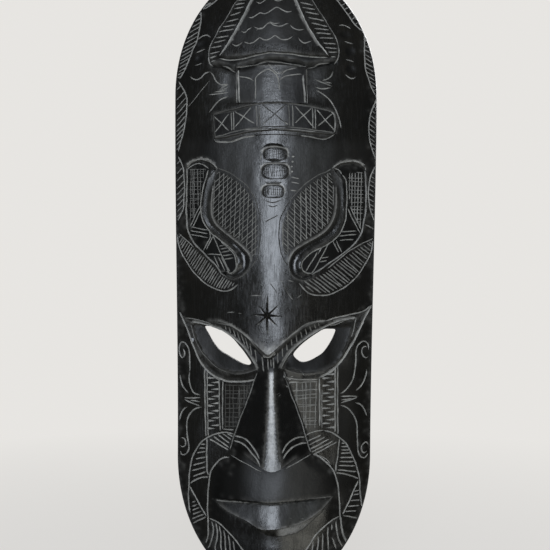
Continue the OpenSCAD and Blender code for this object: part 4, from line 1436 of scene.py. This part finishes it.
    def depth_at(q):
        order = np.argsort(q[:, 1])
        qs = q[order]
        out, pale = np.zeros(len(q)), np.zeros(len(q))
        for p0, p1, w0, w1, d0, d1, dc in n_seg:
            m = max(w0, w1) + 0.02
            i0 = np.searchsorted(qs[:, 1], min(p0[1], p1[1]) - m)
            i1 = np.searchsorted(qs[:, 1], max(p0[1], p1[1]) + m)
            sub = qs[i0:i1]
            k = np.nonzero((sub[:, 0] > min(p0[0], p1[0]) - m) & (sub[:, 0] < max(p0[0], p1[0]) + m))[0]
            if not len(k):
                continue
            d2, t = seg_dist2(sub[k, 0], sub[k, 1], p0, p1)
            w = w0 + (w1 - w0) * t
            d = (d0 + (d1 - d0) * t) * np.clip(1 - np.sqrt(d2) / w, 0, 1)
            idx = k + i0
            more = d > out[idx]
            pale[idx[more]] = dc
            out[idx] = np.maximum(out[idx], d)
        r, rp = np.empty(len(q)), np.empty(len(q))
        r[order], rp[order] = out, pale
        return r, rp

    dv, _ = depth_at(v)
    df, dc = depth_at((v[f[:, 0]] + v[f[:, 1]] + v[f[:, 2]]) / 3)
    return v, f, dv, df, dc, ring, slits


def loops_of(f):
    """Boundary loops of a triangle set, as lists of vertex numbers in order."""
    e = np.vstack([f[:, [0, 1]], f[:, [1, 2]], f[:, [2, 0]]])
    s = set(map(tuple, e.tolist()))
    nxt = {a: b for a, b in s if (b, a) not in s}
    loops = []
    while nxt:
        a, b = next(iter(nxt.items()))
        loop = [a]
        while b != a:
            loop.append(b)
            b = nxt[b]
        for k in loop:
            nxt.pop(k)
        loops.append(loop)
    return sorted(loops, key=len, reverse=True)


# ---------------------------------------------------------------------------
# Back of the mask: flat rim, carved-out hollow with gouge marks
# ---------------------------------------------------------------------------
def hollow_depth(x, z):
    w = half_w(z) - WALL_T
    sw = w - np.abs(x)
    # rounded ends: distance to an inset outline, by its own ellipse
    t = np.clip(np.abs(x) / np.maximum(w, 0.01), 0, 1)
    deep = DEEP * ss(-64, -118, z) * ss(-418, -350, z) * c01(1 - t ** 2.4) ** 0.7
    zin = ss(53.2, 50.0, z) * ss(-423.5, -420.0, z)
    wall = ss(-0.3, 2.2, sw) * zin
    return (LAND + deep) * wall, wall


def gouges(x, z):
    """Overlapping scoops of a curved gouge, running along the grain."""
    out = np.zeros(x.shape)
    rng = np.random.default_rng(21)
    cells = []
    for zc in np.arange(-425, 60, 24.0):
        for xc in np.arange(-78, 80, 11.5):
            cells.append((xc + rng.normal() * 1.4 + (5.7 if int(zc / 24) % 2 else 0), zc + rng.normal() * 5, 7.4 + rng.random() * 2.2, 19 + rng.random() * 9, rng.normal() * 0.12, 1.1 + 0.7 * rng.random()))
    for xc, zc, a, b, r, d in cells:
        m = (np.abs(x - xc) < b) & (np.abs(z - zc) < b * 1.1)
        if not m.any():
            continue
        cx, sx = math.cos(r), math.sin(r)
        u = ((x[m] - xc) * cx + (z[m] - zc) * sx) / a
        v = (-(x[m] - xc) * sx + (z[m] - zc) * cx) / b
        q = d * (1 - u * u - v * v)
        out[m] = np.maximum(out[m], q)
    return out


def build_back(front_xy, loops):
    rings = [front_xy[l] for l in loops]
    net = Net()
    for r in rings:
        net.line(r, closed=True)
    def inner(ins):
        zs_t = np.sin(np.linspace(0, math.pi / 2, 40))
        r = outline_ring(0, 2.2)
        w = half_w(r[:, 1])
        q = r.copy()
        g = (np.roll(r, -1, 0) - np.roll(r, 1, 0))
        g /= np.linalg.norm(g, axis=1)[:, None]
        nrm = np.stack([g[:, 1], -g[:, 0]], 1)
        c = r.mean(0)
        flip = np.sign(((c - r) * nrm).sum(1))
        return r + nrm * flip[:, None] * ins
    cand = [inner(i) for i in (0.8, 1.8, 4, 7, 10)]
    h = 2.1
    for i, z in enumerate(np.arange(BOTTOM_Z + 2, TOP_Z - 2, h * 0.866)):
        w = float(half_w(z)) - 6
        if w <= 1:
            continue
        xs = np.arange(-math.floor(w / h) * h, w, h) + (h / 2 if i % 2 else 0)
        xs = xs[np.abs(xs) < w]
        cand.append(np.stack([xs, np.full(len(xs), z)], 1))
    # extra rows where the hollow's wall drops
    zz = np.arange(-421, 51, 1.6)
    w = half_w(zz) - WALL_T
    for o in (-0.3, 0.4, 1.1, 1.8, 2.4):
        for s in (-1, 1):
            k = w - o > 2
            cand.append(np.stack([s * (w - o)[k], zz[k]], 1))
    for zc, sg in ((50.0, 1), (-420.0, -1)):
        wv = float(half_w(zc)) - WALL_T
        for o in (0, 1.0, 2.0, 3.2):
            xs = np.arange(-wv, wv, 1.6)
            cand.append(np.stack([xs, np.full(len(xs), zc + sg * o)], 1))
    cand = np.vstack(cand)
    ok = inside(rings[0], cand[:, 0], cand[:, 1])
    ok &= sd(rings[0], cand[:, 0], cand[:, 1], 3) > 0.6
    for r in rings[1:]:
        ok &= sd(r, cand[:, 0], cand[:, 1], 3) < -0.7
    cand = cand[ok]
    kd = kdtree.KDTree(len(cand))
    for i, p in enumerate(cand):
        kd.insert((p[0], p[1], 0), i)
    kd.balance()
    drop = np.zeros(len(cand), bool)
    for i, p in enumerate(cand):
        if drop[i]:
            continue
        for _, j, d in kd.find_range((p[0], p[1], 0), 0.62):
            if j > i:
                drop[j] = True
    net.points(cand[~drop])
    pts, edges = np.vstack(net.pts), np.vstack(net.edges)
    res = delaunay_2d_cdt([Vector(p) for p in pts], [tuple(int(v) for v in e) for e in edges], [], 0, 1e-6, True)
    v = np.array([(a.x, a.y) for a in res[0]])
    orig = res[3]
    nring = sum(len(r) for r in rings)
    where = -np.ones(nring, int)
    for i, o in enumerate(orig):
        for k in o:
            if k < nring:
                where[k] = i
    f = np.array([t for t in res[2] if len(t) == 3], int)
    a, b, c = v[f[:, 0]], v[f[:, 1]], v[f[:, 2]]
    area = 0.5 * ((b[:, 0] - a[:, 0]) * (c[:, 1] - a[:, 1]) - (b[:, 1] - a[:, 1]) * (c[:, 0] - a[:, 0]))
    f[area < 0] = f[area < 0][:, ::-1]
    cen = (a + b + c) / 3
    ok = inside(rings[0], cen[:, 0], cen[:, 1])
    for r in rings[1:]:
        ok &= ~inside(r, cen[:, 0], cen[:, 1])
    f = f[ok]
    return v, f, where, rings


def make_mask():
    v, f, dv, df, dc, ring, slits = build_front()
    h0 = smooth_height(v[:, 0], v[:, 1])
    h = h0 - dv
    nf = len(v)
    loops = loops_of(f)
    bv, bf, where, rings = build_back(v, loops)
    hd, wall = hollow_depth(bv[:, 0], bv[:, 1])
    near_slit = np.full(len(bv), 9.0)
    for r in rings[1:]:
        near_slit = np.minimum(near_slit, -sd(r, bv[:, 0], bv[:, 1], 9.0))
    land = ss(20, 14, np.abs(bv[:, 0])) * ss(-66, -60, bv[:, 1]) * ss(12, 6, bv[:, 1])
    g = gouges(bv[:, 0], bv[:, 1])
    hb = hd + (g - 0.95) * wall * (1 - land) * ss(0.0, 4.0, near_slit)
    hb += 0.05 * vnoise(bv[:, 0], bv[:, 1], 5, 9, 3) * (1 - land) * wall
    # never thinner than about 6 mm; the edges of the eyes don't show through
    lim = smooth_height(bv[:, 0], bv[:, 1]) - 6.0 * wall
    soft = ss(70, 60, np.abs(bv[:, 0])) * ss(-305, -285, bv[:, 1]) * ss(-180, -200, bv[:, 1])
    m = soft > 0
    avg = [smooth_height(bv[m, 0] + r * math.cos(a), bv[m, 1] + r * math.sin(a))
           for r in (2.5, 5.5) for a in np.arange(8) * math.pi / 4 + r]
    lim[m] += soft[m] * (np.mean(avg, 0) - 6.8 * wall[m] - lim[m])
    hb = np.minimum(hb, lim)
    hb = np.where(wall > 0, hb, 0)

    co = [np.stack([v[:, 0], -h, v[:, 1]], 1), np.stack([bv[:, 0], -hb, bv[:, 1]], 1)]
    faces = [f, bf[:, ::-1] + nf]
    kind = [np.zeros(len(f), int), np.ones(len(bf), int)]
    n = nf + len(bv)
    # walls: rim and slits
    k0 = 0
    for li, loop in enumerate(loops):
        loop = np.array(loop)
        m = len(loop)
        back = where[k0:k0 + m] + nf
        k0 += m
        fy, by = -h[loop], -hb[back - nf]
        p = v[loop]
        g2 = np.roll(p, -1, 0) - np.roll(p, 1, 0)
        g2 /= np.linalg.norm(g2, axis=1)[:, None] + 1e-12
        out = np.stack([g2[:, 1], -g2[:, 0]], 1)      # away from the wood for a counter-clockwise outer loop
        if li == 0:
            # rounded edge: the rim swells slightly between front and back
            shares, push = (0.12, 0.35, 0.65, 0.9), (0.28, 0.42, 0.42, 0.24)
        else:
            shares, push = (0.10, 0.3, 0.55, 0.8), (-0.25, -0.2, -0.05, 0.0)
        prev = loop
        for s, d in zip(shares, push):
            q = p + out * d * (1 if li == 0 else 1)
            y = fy * (1 - s) + by * s
            co.append(np.stack([q[:, 0], y, q[:, 1]], 1))
            cur = np.arange(n, n + m)
            n += m
            a, b = prev, np.roll(prev, -1)
            c, d2 = cur, np.roll(cur, -1)
            faces.append(np.stack([a, c, b], 1))
            faces.append(np.stack([b, c, d2], 1))
            kind += [np.full(m, 2), np.full(m, 2)]
            prev = cur
        a, b = prev, np.roll(prev, -1)
        c, d2 = back, np.roll(back, -1)
        faces.append(np.stack([a, c, b], 1))
        faces.append(np.stack([b, c, d2], 1))
        kind += [np.full(m, 2), np.full(m, 2)]
    co = np.vstack(co)
    faces = np.vstack(faces)
    kind = np.concatenate(kind)

    # shading normals: smooth over the worked surface, broken at real edges
    fn = np.cross(co[faces[:, 1]] - co[faces[:, 0]], co[faces[:, 2]] - co[faces[:, 0]])
    un = fn / (np.linalg.norm(fn, axis=1)[:, None] + 1e-12)
    vi = faces.reshape(-1)
    fi = np.repeat(np.arange(len(faces)), 3)
    order = np.argsort(vi, kind="stable")
    sv, sf = vi[order], fi[order]
    start = np.r_[0, np.nonzero(np.diff(sv))[0] + 1]
    size = np.diff(np.r_[start, len(sv)])
    g0, gn = np.repeat(start, size), np.repeat(size, size)
    pos = np.arange(len(sv))
    acc = np.zeros((len(sv), 3))
    for k in range(int(size.max())):
        m = np.nonzero(gn > k)[0]
        part = g0[m] + (pos[m] - g0[m] + k) % gn[m]
        fa, fb = sf[m], sf[part]
        same = (un[fa] * un[fb]).sum(1) > 0.86
        acc[m] += fn[fb] * same[:, None]
    acc /= np.linalg.norm(acc, axis=1)[:, None] + 1e-15
    loop_n = np.empty((len(vi), 3))
    loop_n[order] = acc
    loop_n = loop_n.reshape(-1, 3, 3)

    me = bpy.data.meshes.new("carved_mask")
    me.from_pydata((co / 1000.0).tolist(), [], faces.tolist())
    me.validate()
    assert len(me.polygons) == len(faces)
    me.polygons.foreach_set("use_smooth", np.ones(len(faces), bool))
    me.normals_split_custom_set(loop_n.reshape(-1, 3).tolist())
    # layers for the finish, with painted light and shade
    cutv = np.zeros((len(faces), 3))
    strength = np.clip(dv / 0.45, 0, 1)
    cf = np.clip(df / 0.16, 0, 1)
    cutv[:len(f)] = (cf * dc * (df > 0.02))[:, None]
    at = me.attributes.new("cut", "FLOAT", "CORNER")
    at.data.foreach_set("value", cutv.reshape(-1).astype(np.float32))
    # ridges and worn edges: how much a point stands above its neighbours; the painted edge highlights are added on top
    e = np.vstack([f[:, [0, 1]], f[:, [1, 2]], f[:, [2, 0]]])
    acc, cnt = np.zeros(nf), np.zeros(nf)
    np.add.at(acc, e[:, 0], h0[e[:, 1]] - h0[e[:, 0]])
    np.add.at(cnt, e[:, 0], 1)
    lap = acc / np.maximum(cnt, 1)
    wear_and_highlight = np.zeros(len(co))
    wear_and_highlight[:nf] = np.clip(-lap * 1.2 - 0.25, 0, 0.5)
    for _ in range(2):
        a2, c2 = np.zeros(nf), np.zeros(nf)
        np.add.at(a2, e[:, 0], wear_and_highlight[e[:, 1]])
        np.add.at(c2, e[:, 0], 1)
        wear_and_highlight[:nf] = 0.5 * wear_and_highlight[:nf] + 0.5 * a2 / np.maximum(c2, 1)
    # painted edge highlights laid over the worn edges
    wear_and_highlight[:nf] = np.maximum(wear_and_highlight[:nf], edge_highlight_and_wear(v[:, 0], v[:, 1]))
    # fields greyed by cutting with painted light, stain in hollows with painted shade, and the roughness layers
    for nm, fun in (("dry_and_painted_light", dry_and_painted_light), ("pooled_stain_and_shade", pooled_stain_and_shade), ("matte", matte), ("satin", satin)):
        val = np.zeros(len(co), np.float32)
        val[:nf] = fun(v[:, 0], v[:, 1])
        la = me.attributes.new(nm, "FLOAT", "POINT")
        la.data.foreach_set("value", val)
    wa = me.attributes.new("wear_and_highlight", "FLOAT", "POINT")
    wa.data.foreach_set("value", wear_and_highlight.astype(np.float32))
    bk = me.attributes.new("back", "FLOAT", "POINT")
    bval = np.zeros(len(co))
    bval[nf:nf + len(bv)] = wall
    bk.data.foreach_set("value", bval.astype(np.float32))
    me.update()
    ob = bpy.data.objects.new("carved_mask", me)
    bpy.context.scene.collection.objects.link(ob)
    print("carved_mask", len(co), "points", len(faces), "triangles,", len(loops), "loops, height",
          round(float(h.max()), 1), "cuts", len(STROKES))
    return ob


mask = make_mask()
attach(mask, "mask")
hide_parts("mask_body")


# ---------------------------------------------------------------------------
# Materials
# ---------------------------------------------------------------------------
def new_mat(name):
    m = bpy.data.materials.new(name)
    m.use_nodes = True
    nt = m.node_tree
    nt.nodes.clear()
    out = nt.nodes.new("ShaderNodeOutputMaterial")
    b = nt.nodes.new("ShaderNodeBsdfPrincipled")
    nt.links.new(b.outputs[0], out.inputs[0])
    return m, nt, b


def node(nt, kind, **kw):
    n = nt.nodes.new(kind)
    for k, v in kw.items():
        setattr(n, k, v)
    return n


def ramp(nt, src, stops):
    r = nt.nodes.new("ShaderNodeValToRGB")
    el = r.color_ramp.elements
    while len(el) < len(stops):
        el.new(0.5)
    for e, (p, c) in zip(el, stops):
        e.position = p
        e.color = (*c, 1) if len(c) == 3 else c
    nt.links.new(src, r.inputs[0])
    return r


def mixc(nt, fac, a, b, mode="MIX"):
    m = nt.nodes.new("ShaderNodeMix")
    m.data_type = "RGBA"
    m.blend_type = mode
    for s, v in ((m.inputs[0], fac), (m.inputs[6], a), (m.inputs[7], b)):
        if isinstance(v, (int, float)):
            s.default_value = v
        elif isinstance(v, tuple):
            s.default_value = (*v, 1)
        else:
            nt.links.new(v, s)
    return m.outputs[2]


def math_n(nt, op, a, b=0.0, clamp=False):
    m = nt.nodes.new("ShaderNodeMath")
    m.operation = op
    m.use_clamp = clamp
    for s, v in ((m.inputs[0], a), (m.inputs[1], b)):
        if isinstance(v, (int, float)):
            s.default_value = v
        else:
            nt.links.new(v, s)
    return m.outputs[0]


def scaled(nt, src, sc, rot=(0, 0, 0)):
    m = nt.nodes.new("ShaderNodeMapping")
    m.inputs["Scale"].default_value = sc
    m.inputs["Rotation"].default_value = rot
    nt.links.new(src, m.inputs["Vector"])
    return m.outputs[0]


def noise(nt, vec, scale, detail=4, rough=0.55, dist=0.0):
    n = nt.nodes.new("ShaderNodeTexNoise")
    n.inputs["Scale"].default_value = scale
    n.inputs["Detail"].default_value = detail
    n.inputs["Roughness"].default_value = rough
    n.inputs["Distortion"].default_value = dist
    nt.links.new(vec, n.inputs["Vector"])
    return n.outputs["Fac"]


def wood_material():
    m, nt, b = new_mat("black_stained_wood")
    geo = nt.nodes.new("ShaderNodeTexCoord").outputs["Object"]
    cut_a = nt.nodes.new("ShaderNodeAttribute"); cut_a.attribute_name = "cut"
    wear_highlight_a = nt.nodes.new("ShaderNodeAttribute"); wear_highlight_a.attribute_name = "wear_and_highlight"
    back_a = nt.nodes.new("ShaderNodeAttribute"); back_a.attribute_name = "back"
    cutf, wear_highlight_f, backf = cut_a.outputs["Fac"], wear_highlight_a.outputs["Fac"], back_a.outputs["Fac"]
    # long grain, pores and cloudy stain
    gv = scaled(nt, geo, (330, 330, 26))
    grain = noise(nt, gv, 1.0, 5, 0.6)
    pv = scaled(nt, geo, (900, 900, 90))
    pores = noise(nt, pv, 1.0, 3, 0.6)
    cloud = noise(nt, geo, 22.0, 5, 0.6)
    fine = noise(nt, geo, 700.0, 3, 0.6)
    stain = ramp(nt, cloud, [(0.25, (0.0044, 0.0041, 0.0034)), (0.55, (0.0070, 0.0064, 0.0051)), (0.85, (0.0122, 0.0107, 0.0080))]).outputs[0]
    g2 = ramp(nt, grain, [(0.30, (0.6, 0.6, 0.6)), (0.62, (1.15, 1.13, 1.1))]).outputs[0]
    col = mixc(nt, 0.5, stain, g2, "MULTIPLY")
    dry_light_a = nt.nodes.new("ShaderNodeAttribute"); dry_light_a.attribute_name = "dry_and_painted_light"
    pool_shade_a = nt.nodes.new("ShaderNodeAttribute"); pool_shade_a.attribute_name = "pooled_stain_and_shade"
    dry_light_f, pool_shade_f = dry_light_a.outputs["Fac"], pool_shade_a.outputs["Fac"]
    # stain gathered in hollows and painted shade: these places go near black
    col = mixc(nt, math_n(nt, "MULTIPLY", pool_shade_f, 0.8), col, (0.0036, 0.0035, 0.0032))
    # greyer cut-over fields, and painted light: the forehead sheen, lit facets of the lip and channels, the hollows
    # beside the house
    dry_light_noise = ramp(nt, noise(nt, geo, 330.0, 4, 0.7), [(0.3, (0.25, 0.25, 0.25)), (0.7, (1, 1, 1))]).outputs[0]
    dry_light_mask = math_n(nt, "MULTIPLY", dry_light_f, dry_light_noise, True)
    col = mixc(nt, math_n(nt, "MULTIPLY", dry_light_mask, 0.85), col, (0.042, 0.0415, 0.036))
    # worn edges and painted edge highlights: thinner stain, slightly brown-grey
    wn = noise(nt, geo, 160.0, 4, 0.7)
    wear_highlight_mask = math_n(nt, "MULTIPLY", wear_highlight_f, ramp(nt, wn, [(0.30, (0.35, 0.35, 0.35)), (0.52, (1, 1, 1))]).outputs[0], True)
    col = mixc(nt, math_n(nt, "MULTIPLY", wear_highlight_mask, 0.9), col, (0.325, 0.312, 0.282))
    # incised cuts show greyer, drier, dusty wood; a few very pale cuts are painted highlights, and cuts over the centre
    # sheen are left darker as painted shade
    dn = noise(nt, geo, 240.0, 3, 0.65)
    dust_and_highlight = ramp(nt, dn, [(0.28, (0.146, 0.142, 0.129)), (0.7, (0.337, 0.326, 0.296))]).outputs[0]
    cmask = math_n(nt, "MULTIPLY", cutf, 0.95)
    col = mixc(nt, cmask, col, dust_and_highlight)
    # the back is stained thinner and unpolished
    bg = ramp(nt, grain, [(0.3, (0.036, 0.025, 0.017)), (0.62, (0.098, 0.068, 0.045))]).outputs[0]
    bcol = mixc(nt, ramp(nt, noise(nt, geo, 34.0, 5, 0.65), [(0.35, (0.15, 0.15, 0.15)), (0.7, (0.9, 0.9, 0.9))]).outputs[0], (0.026, 0.020, 0.0155), bg)
    col = mixc(nt, backf, col, bcol)
    nt.links.new(col, b.inputs["Base Color"])
    # roughness: waxed but hand rubbed, dull in the cuts and at the back
    r0 = ramp(nt, noise(nt, geo, 120.0, 6, 0.75), [(0.3, (0.185, 0.185, 0.185)), (0.7, (0.325, 0.325, 0.325))]).outputs[0]
    r1 = mixc(nt, math_n(nt, "MULTIPLY", ramp(nt, pores, [(0.35, (1, 1, 1)), (0.5, (0, 0, 0))]).outputs[0], 0.35), r0, (0.62, 0.62, 0.62))
    r1 = mixc(nt, math_n(nt, "MULTIPLY", dry_light_mask, 0.8), r1, (0.62, 0.62, 0.62))
    mat_a = nt.nodes.new("ShaderNodeAttribute"); mat_a.attribute_name = "matte"
    sat_a = nt.nodes.new("ShaderNodeAttribute"); sat_a.attribute_name = "satin"
    r1 = mixc(nt, math_n(nt, "MULTIPLY", mat_a.outputs["Fac"], 0.8), r1, (0.54, 0.54, 0.54))
    r1 = mixc(nt, math_n(nt, "MULTIPLY", sat_a.outputs["Fac"], 0.85), r1, (0.47, 0.47, 0.47))
    r2 = mixc(nt, cmask, r1, (0.74, 0.74, 0.74))
    r3 = mixc(nt, backf, r2, (0.50, 0.50, 0.50))
    nt.links.new(r3, b.inputs["Roughness"])
    spec = math_n(nt, "SUBTRACT", 0.5, math_n(nt, "MULTIPLY", mat_a.outputs["Fac"], 0.40))
    b.inputs["Specular IOR Level"].default_value = 0.42
    nt.links.new(spec, b.inputs["Specular IOR Level"])
    # bump: pores, grain, rubbing marks
    mott = noise(nt, geo, 420.0, 4, 0.65)
    scr = noise(nt, scaled(nt, geo, (1500, 1500, 110), (0.0, 0.9, 0.0)), 1.0, 2, 0.5)
    mot2 = noise(nt, scaled(nt, geo, (1, 1, 2.2)), 150.0, 3, 0.6)
    hsum = math_n(nt, "ADD", math_n(nt, "MULTIPLY", grain, 0.05), math_n(nt, "MULTIPLY", pores, 0.07))
    hsum = math_n(nt, "ADD", hsum, math_n(nt, "MULTIPLY", fine, 0.10))
    hsum = math_n(nt, "ADD", hsum, math_n(nt, "MULTIPLY", mott, 0.55))
    hsum = math_n(nt, "ADD", hsum, math_n(nt, "MULTIPLY", mot2, 0.38))
    hsum = math_n(nt, "ADD", hsum, math_n(nt, "MULTIPLY", scr, 0.22))
    bump = nt.nodes.new("ShaderNodeBump")
    bump.inputs["Strength"].default_value = 0.8
    bump.inputs["Distance"].default_value = 0.00026
    nt.links.new(hsum, bump.inputs["Height"])
    nt.links.new(bump.outputs[0], b.inputs["Normal"])
    return m


mask.data.materials.append(wood_material())


def metal(name, base, dark, rough, scale, metallic=1.0):
    m, nt, b = new_mat(name)
    geo = nt.nodes.new("ShaderNodeTexCoord").outputs["Object"]
    n1 = noise(nt, geo, scale, 5, 0.6)
    n2 = noise(nt, scaled(nt, geo, (1, 1, 8)), scale * 6, 3, 0.6)
    col = mixc(nt, ramp(nt, n1, [(0.35, (0, 0, 0)), (0.7, (1, 1, 1))]).outputs[0], base, dark)
    nt.links.new(col, b.inputs["Base Color"])
    r = ramp(nt, n2, [(0.3, (rough - 0.07,) * 3), (0.7, (rough + 0.12,) * 3)]).outputs[0]
    nt.links.new(r, b.inputs["Roughness"])
    b.inputs["Metallic"].default_value = metallic
    bump = nt.nodes.new("ShaderNodeBump")
    bump.inputs["Strength"].default_value = 0.25
    bump.inputs["Distance"].default_value = 0.00006
    nt.links.new(n2, bump.inputs["Height"])
    nt.links.new(bump.outputs[0], b.inputs["Normal"])
    return m


zinc = metal("zinc_plate", (0.56, 0.55, 0.50), (0.40, 0.39, 0.35), 0.36, 240)
wire = metal("zinc_wire", (0.62, 0.61, 0.58), (0.48, 0.47, 0.44), 0.30, 300)
brass = metal("aged_brass", (0.62, 0.46, 0.20), (0.40, 0.28, 0.13), 0.34, 260)
for name, mat in (("hanger_strap", zinc), ("hanger_ring", wire), ("strap_screw_upper", brass), ("strap_screw_lower", brass)):
    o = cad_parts[name]
    o.data.materials.clear()
    o.data.materials.append(mat)

# ---------------------------------------------------------------------------
# Floor, light and camera
# ---------------------------------------------------------------------------
fm = bpy.data.meshes.new("floor")
R, Z = 12.0, -0.452
fm.from_pydata([(-R, -R, Z), (R, -R, Z), (R, R, Z), (-R, R, Z)], [], [(0, 1, 2, 3)])
floor = bpy.data.objects.new("floor", fm)
bpy.context.scene.collection.objects.link(floor)
mfl, ntf, bf_ = new_mat("pale_floor")
bf_.inputs["Base Color"].default_value = (0.78, 0.765, 0.74, 1)
bf_.inputs["Roughness"].default_value = 0.85
# far from the mask the floor fades into the pale backdrop
tcf = ntf.nodes.new("ShaderNodeTexCoord")
lenf = ntf.nodes.new("ShaderNodeVectorMath"); lenf.operation = "LENGTH"
ntf.links.new(tcf.outputs["Object"], lenf.inputs[0])
rf = ramp(ntf, math_n(ntf, "DIVIDE", lenf.outputs["Value"], 2.0), [(0.0, (0.5, 0.5, 0.5)), (0.5, (1, 1, 1))])
emf = ntf.nodes.new("ShaderNodeEmission")
emf.inputs[0].default_value = (0.80, 0.785, 0.76, 1)
mxf = ntf.nodes.new("ShaderNodeMixShader")
ntf.links.new(rf.outputs[0], mxf.inputs[0])
ntf.links.new(bf_.outputs[0], mxf.inputs[1])
ntf.links.new(emf.outputs[0], mxf.inputs[2])
lpf = ntf.nodes.new("ShaderNodeLightPath")
dimf = ntf.nodes.new("ShaderNodeBsdfDiffuse")
dimf.inputs[0].default_value = (0.08, 0.08, 0.08, 1)
mx2 = ntf.nodes.new("ShaderNodeMixShader")
ntf.links.new(lpf.outputs["Is Camera Ray"], mx2.inputs[0])
ntf.links.new(dimf.outputs[0], mx2.inputs[1])
ntf.links.new(mxf.outputs[0], mx2.inputs[2])
ntf.links.new(mx2.outputs[0], ntf.nodes["Material Output"].inputs[0])
fm.materials.append(mfl)
floor.visible_glossy = False
floor.visible_shadow = False

world = bpy.data.worlds.new("soft")
bpy.context.scene.world = world
world.use_nodes = True
wn_ = world.node_tree
wn_.nodes.clear()
wo = wn_.nodes.new("ShaderNodeOutputWorld")
mixw = wn_.nodes.new("ShaderNodeMixShader")
lp = wn_.nodes.new("ShaderNodeLightPath")
seen = wn_.nodes.new("ShaderNodeBackground")
seen.inputs[0].default_value = (0.80, 0.785, 0.76, 1)
seen.inputs[1].default_value = 1.0
lit = wn_.nodes.new("ShaderNodeBackground")
lit.inputs[0].default_value = (0.80, 0.84, 0.90, 1)
lit.inputs[1].default_value = 0.062
wn_.links.new(lp.outputs["Is Camera Ray"], mixw.inputs[0])
wn_.links.new(lit.outputs[0], mixw.inputs[1])
wn_.links.new(seen.outputs[0], mixw.inputs[2])
wn_.links.new(mixw.outputs[0], wo.inputs[0])


def area(name, loc, aim, size, power, color=(1, 1, 1), size_y=None):
    l = bpy.data.lights.new(name, "AREA")
    l.shape = "RECTANGLE"
    l.size = size
    l.size_y = size_y or size
    l.energy = power
    l.color = color
    o = bpy.data.objects.new(name, l)
    o.location = loc
    o.rotation_euler = (Vector(aim) - Vector(loc)).to_track_quat("-Z", "Y").to_euler()
    bpy.context.scene.collection.objects.link(o)
    return o


mid = (0, 0, -0.18)
area("key", (-0.13, -1.75, 0.13), (-0.10, 0, 0.13), 0.94, 34, (0.83, 0.90, 1.0), 1.14)
area("top", (0.15, -1.0, 1.25), mid, 0.7, 1.0, (0.95, 0.97, 1.0), 0.7)
area("low_right", (0.40, -0.68, -0.56), (0.01, -0.03, -0.37), 0.34, 0.85, (1.0, 0.985, 0.88), 0.34)
area("under_right", (0.17, -0.38, -0.76), (0.02, -0.03, -0.41), 0.26, 0.38, (1.0, 0.985, 0.86), 0.30)
area("back_soft", (0.72, 1.55, 0.75), mid, 1.0, 17, (1, 1, 1), 1.0)

cam_d = bpy.data.cameras.new("camera")
cam = bpy.data.objects.new("camera", cam_d)
bpy.context.scene.collection.objects.link(cam)
cam.location = (0.0, -EYE / 1000.0, EYE_Z / 1000.0)
cam.rotation_euler = (math.radians(90), 0, 0)
cam.rotation_mode = "XYZ"
half = 550 * UNIT / 2 / (EYE - 7)
cam_d.sensor_width = 36
cam_d.lens = 18 / half
roll = 3.2 / 549
cam.matrix_world = (
    Matrix.Translation(cam.location)
    @ Matrix.Rotation(math.radians(90), 4, "X")
    @ Matrix.Rotation(roll, 4, "Z"))
bpy.context.scene.camera = cam
bpy.context.scene.view_settings.view_transform = "Standard"
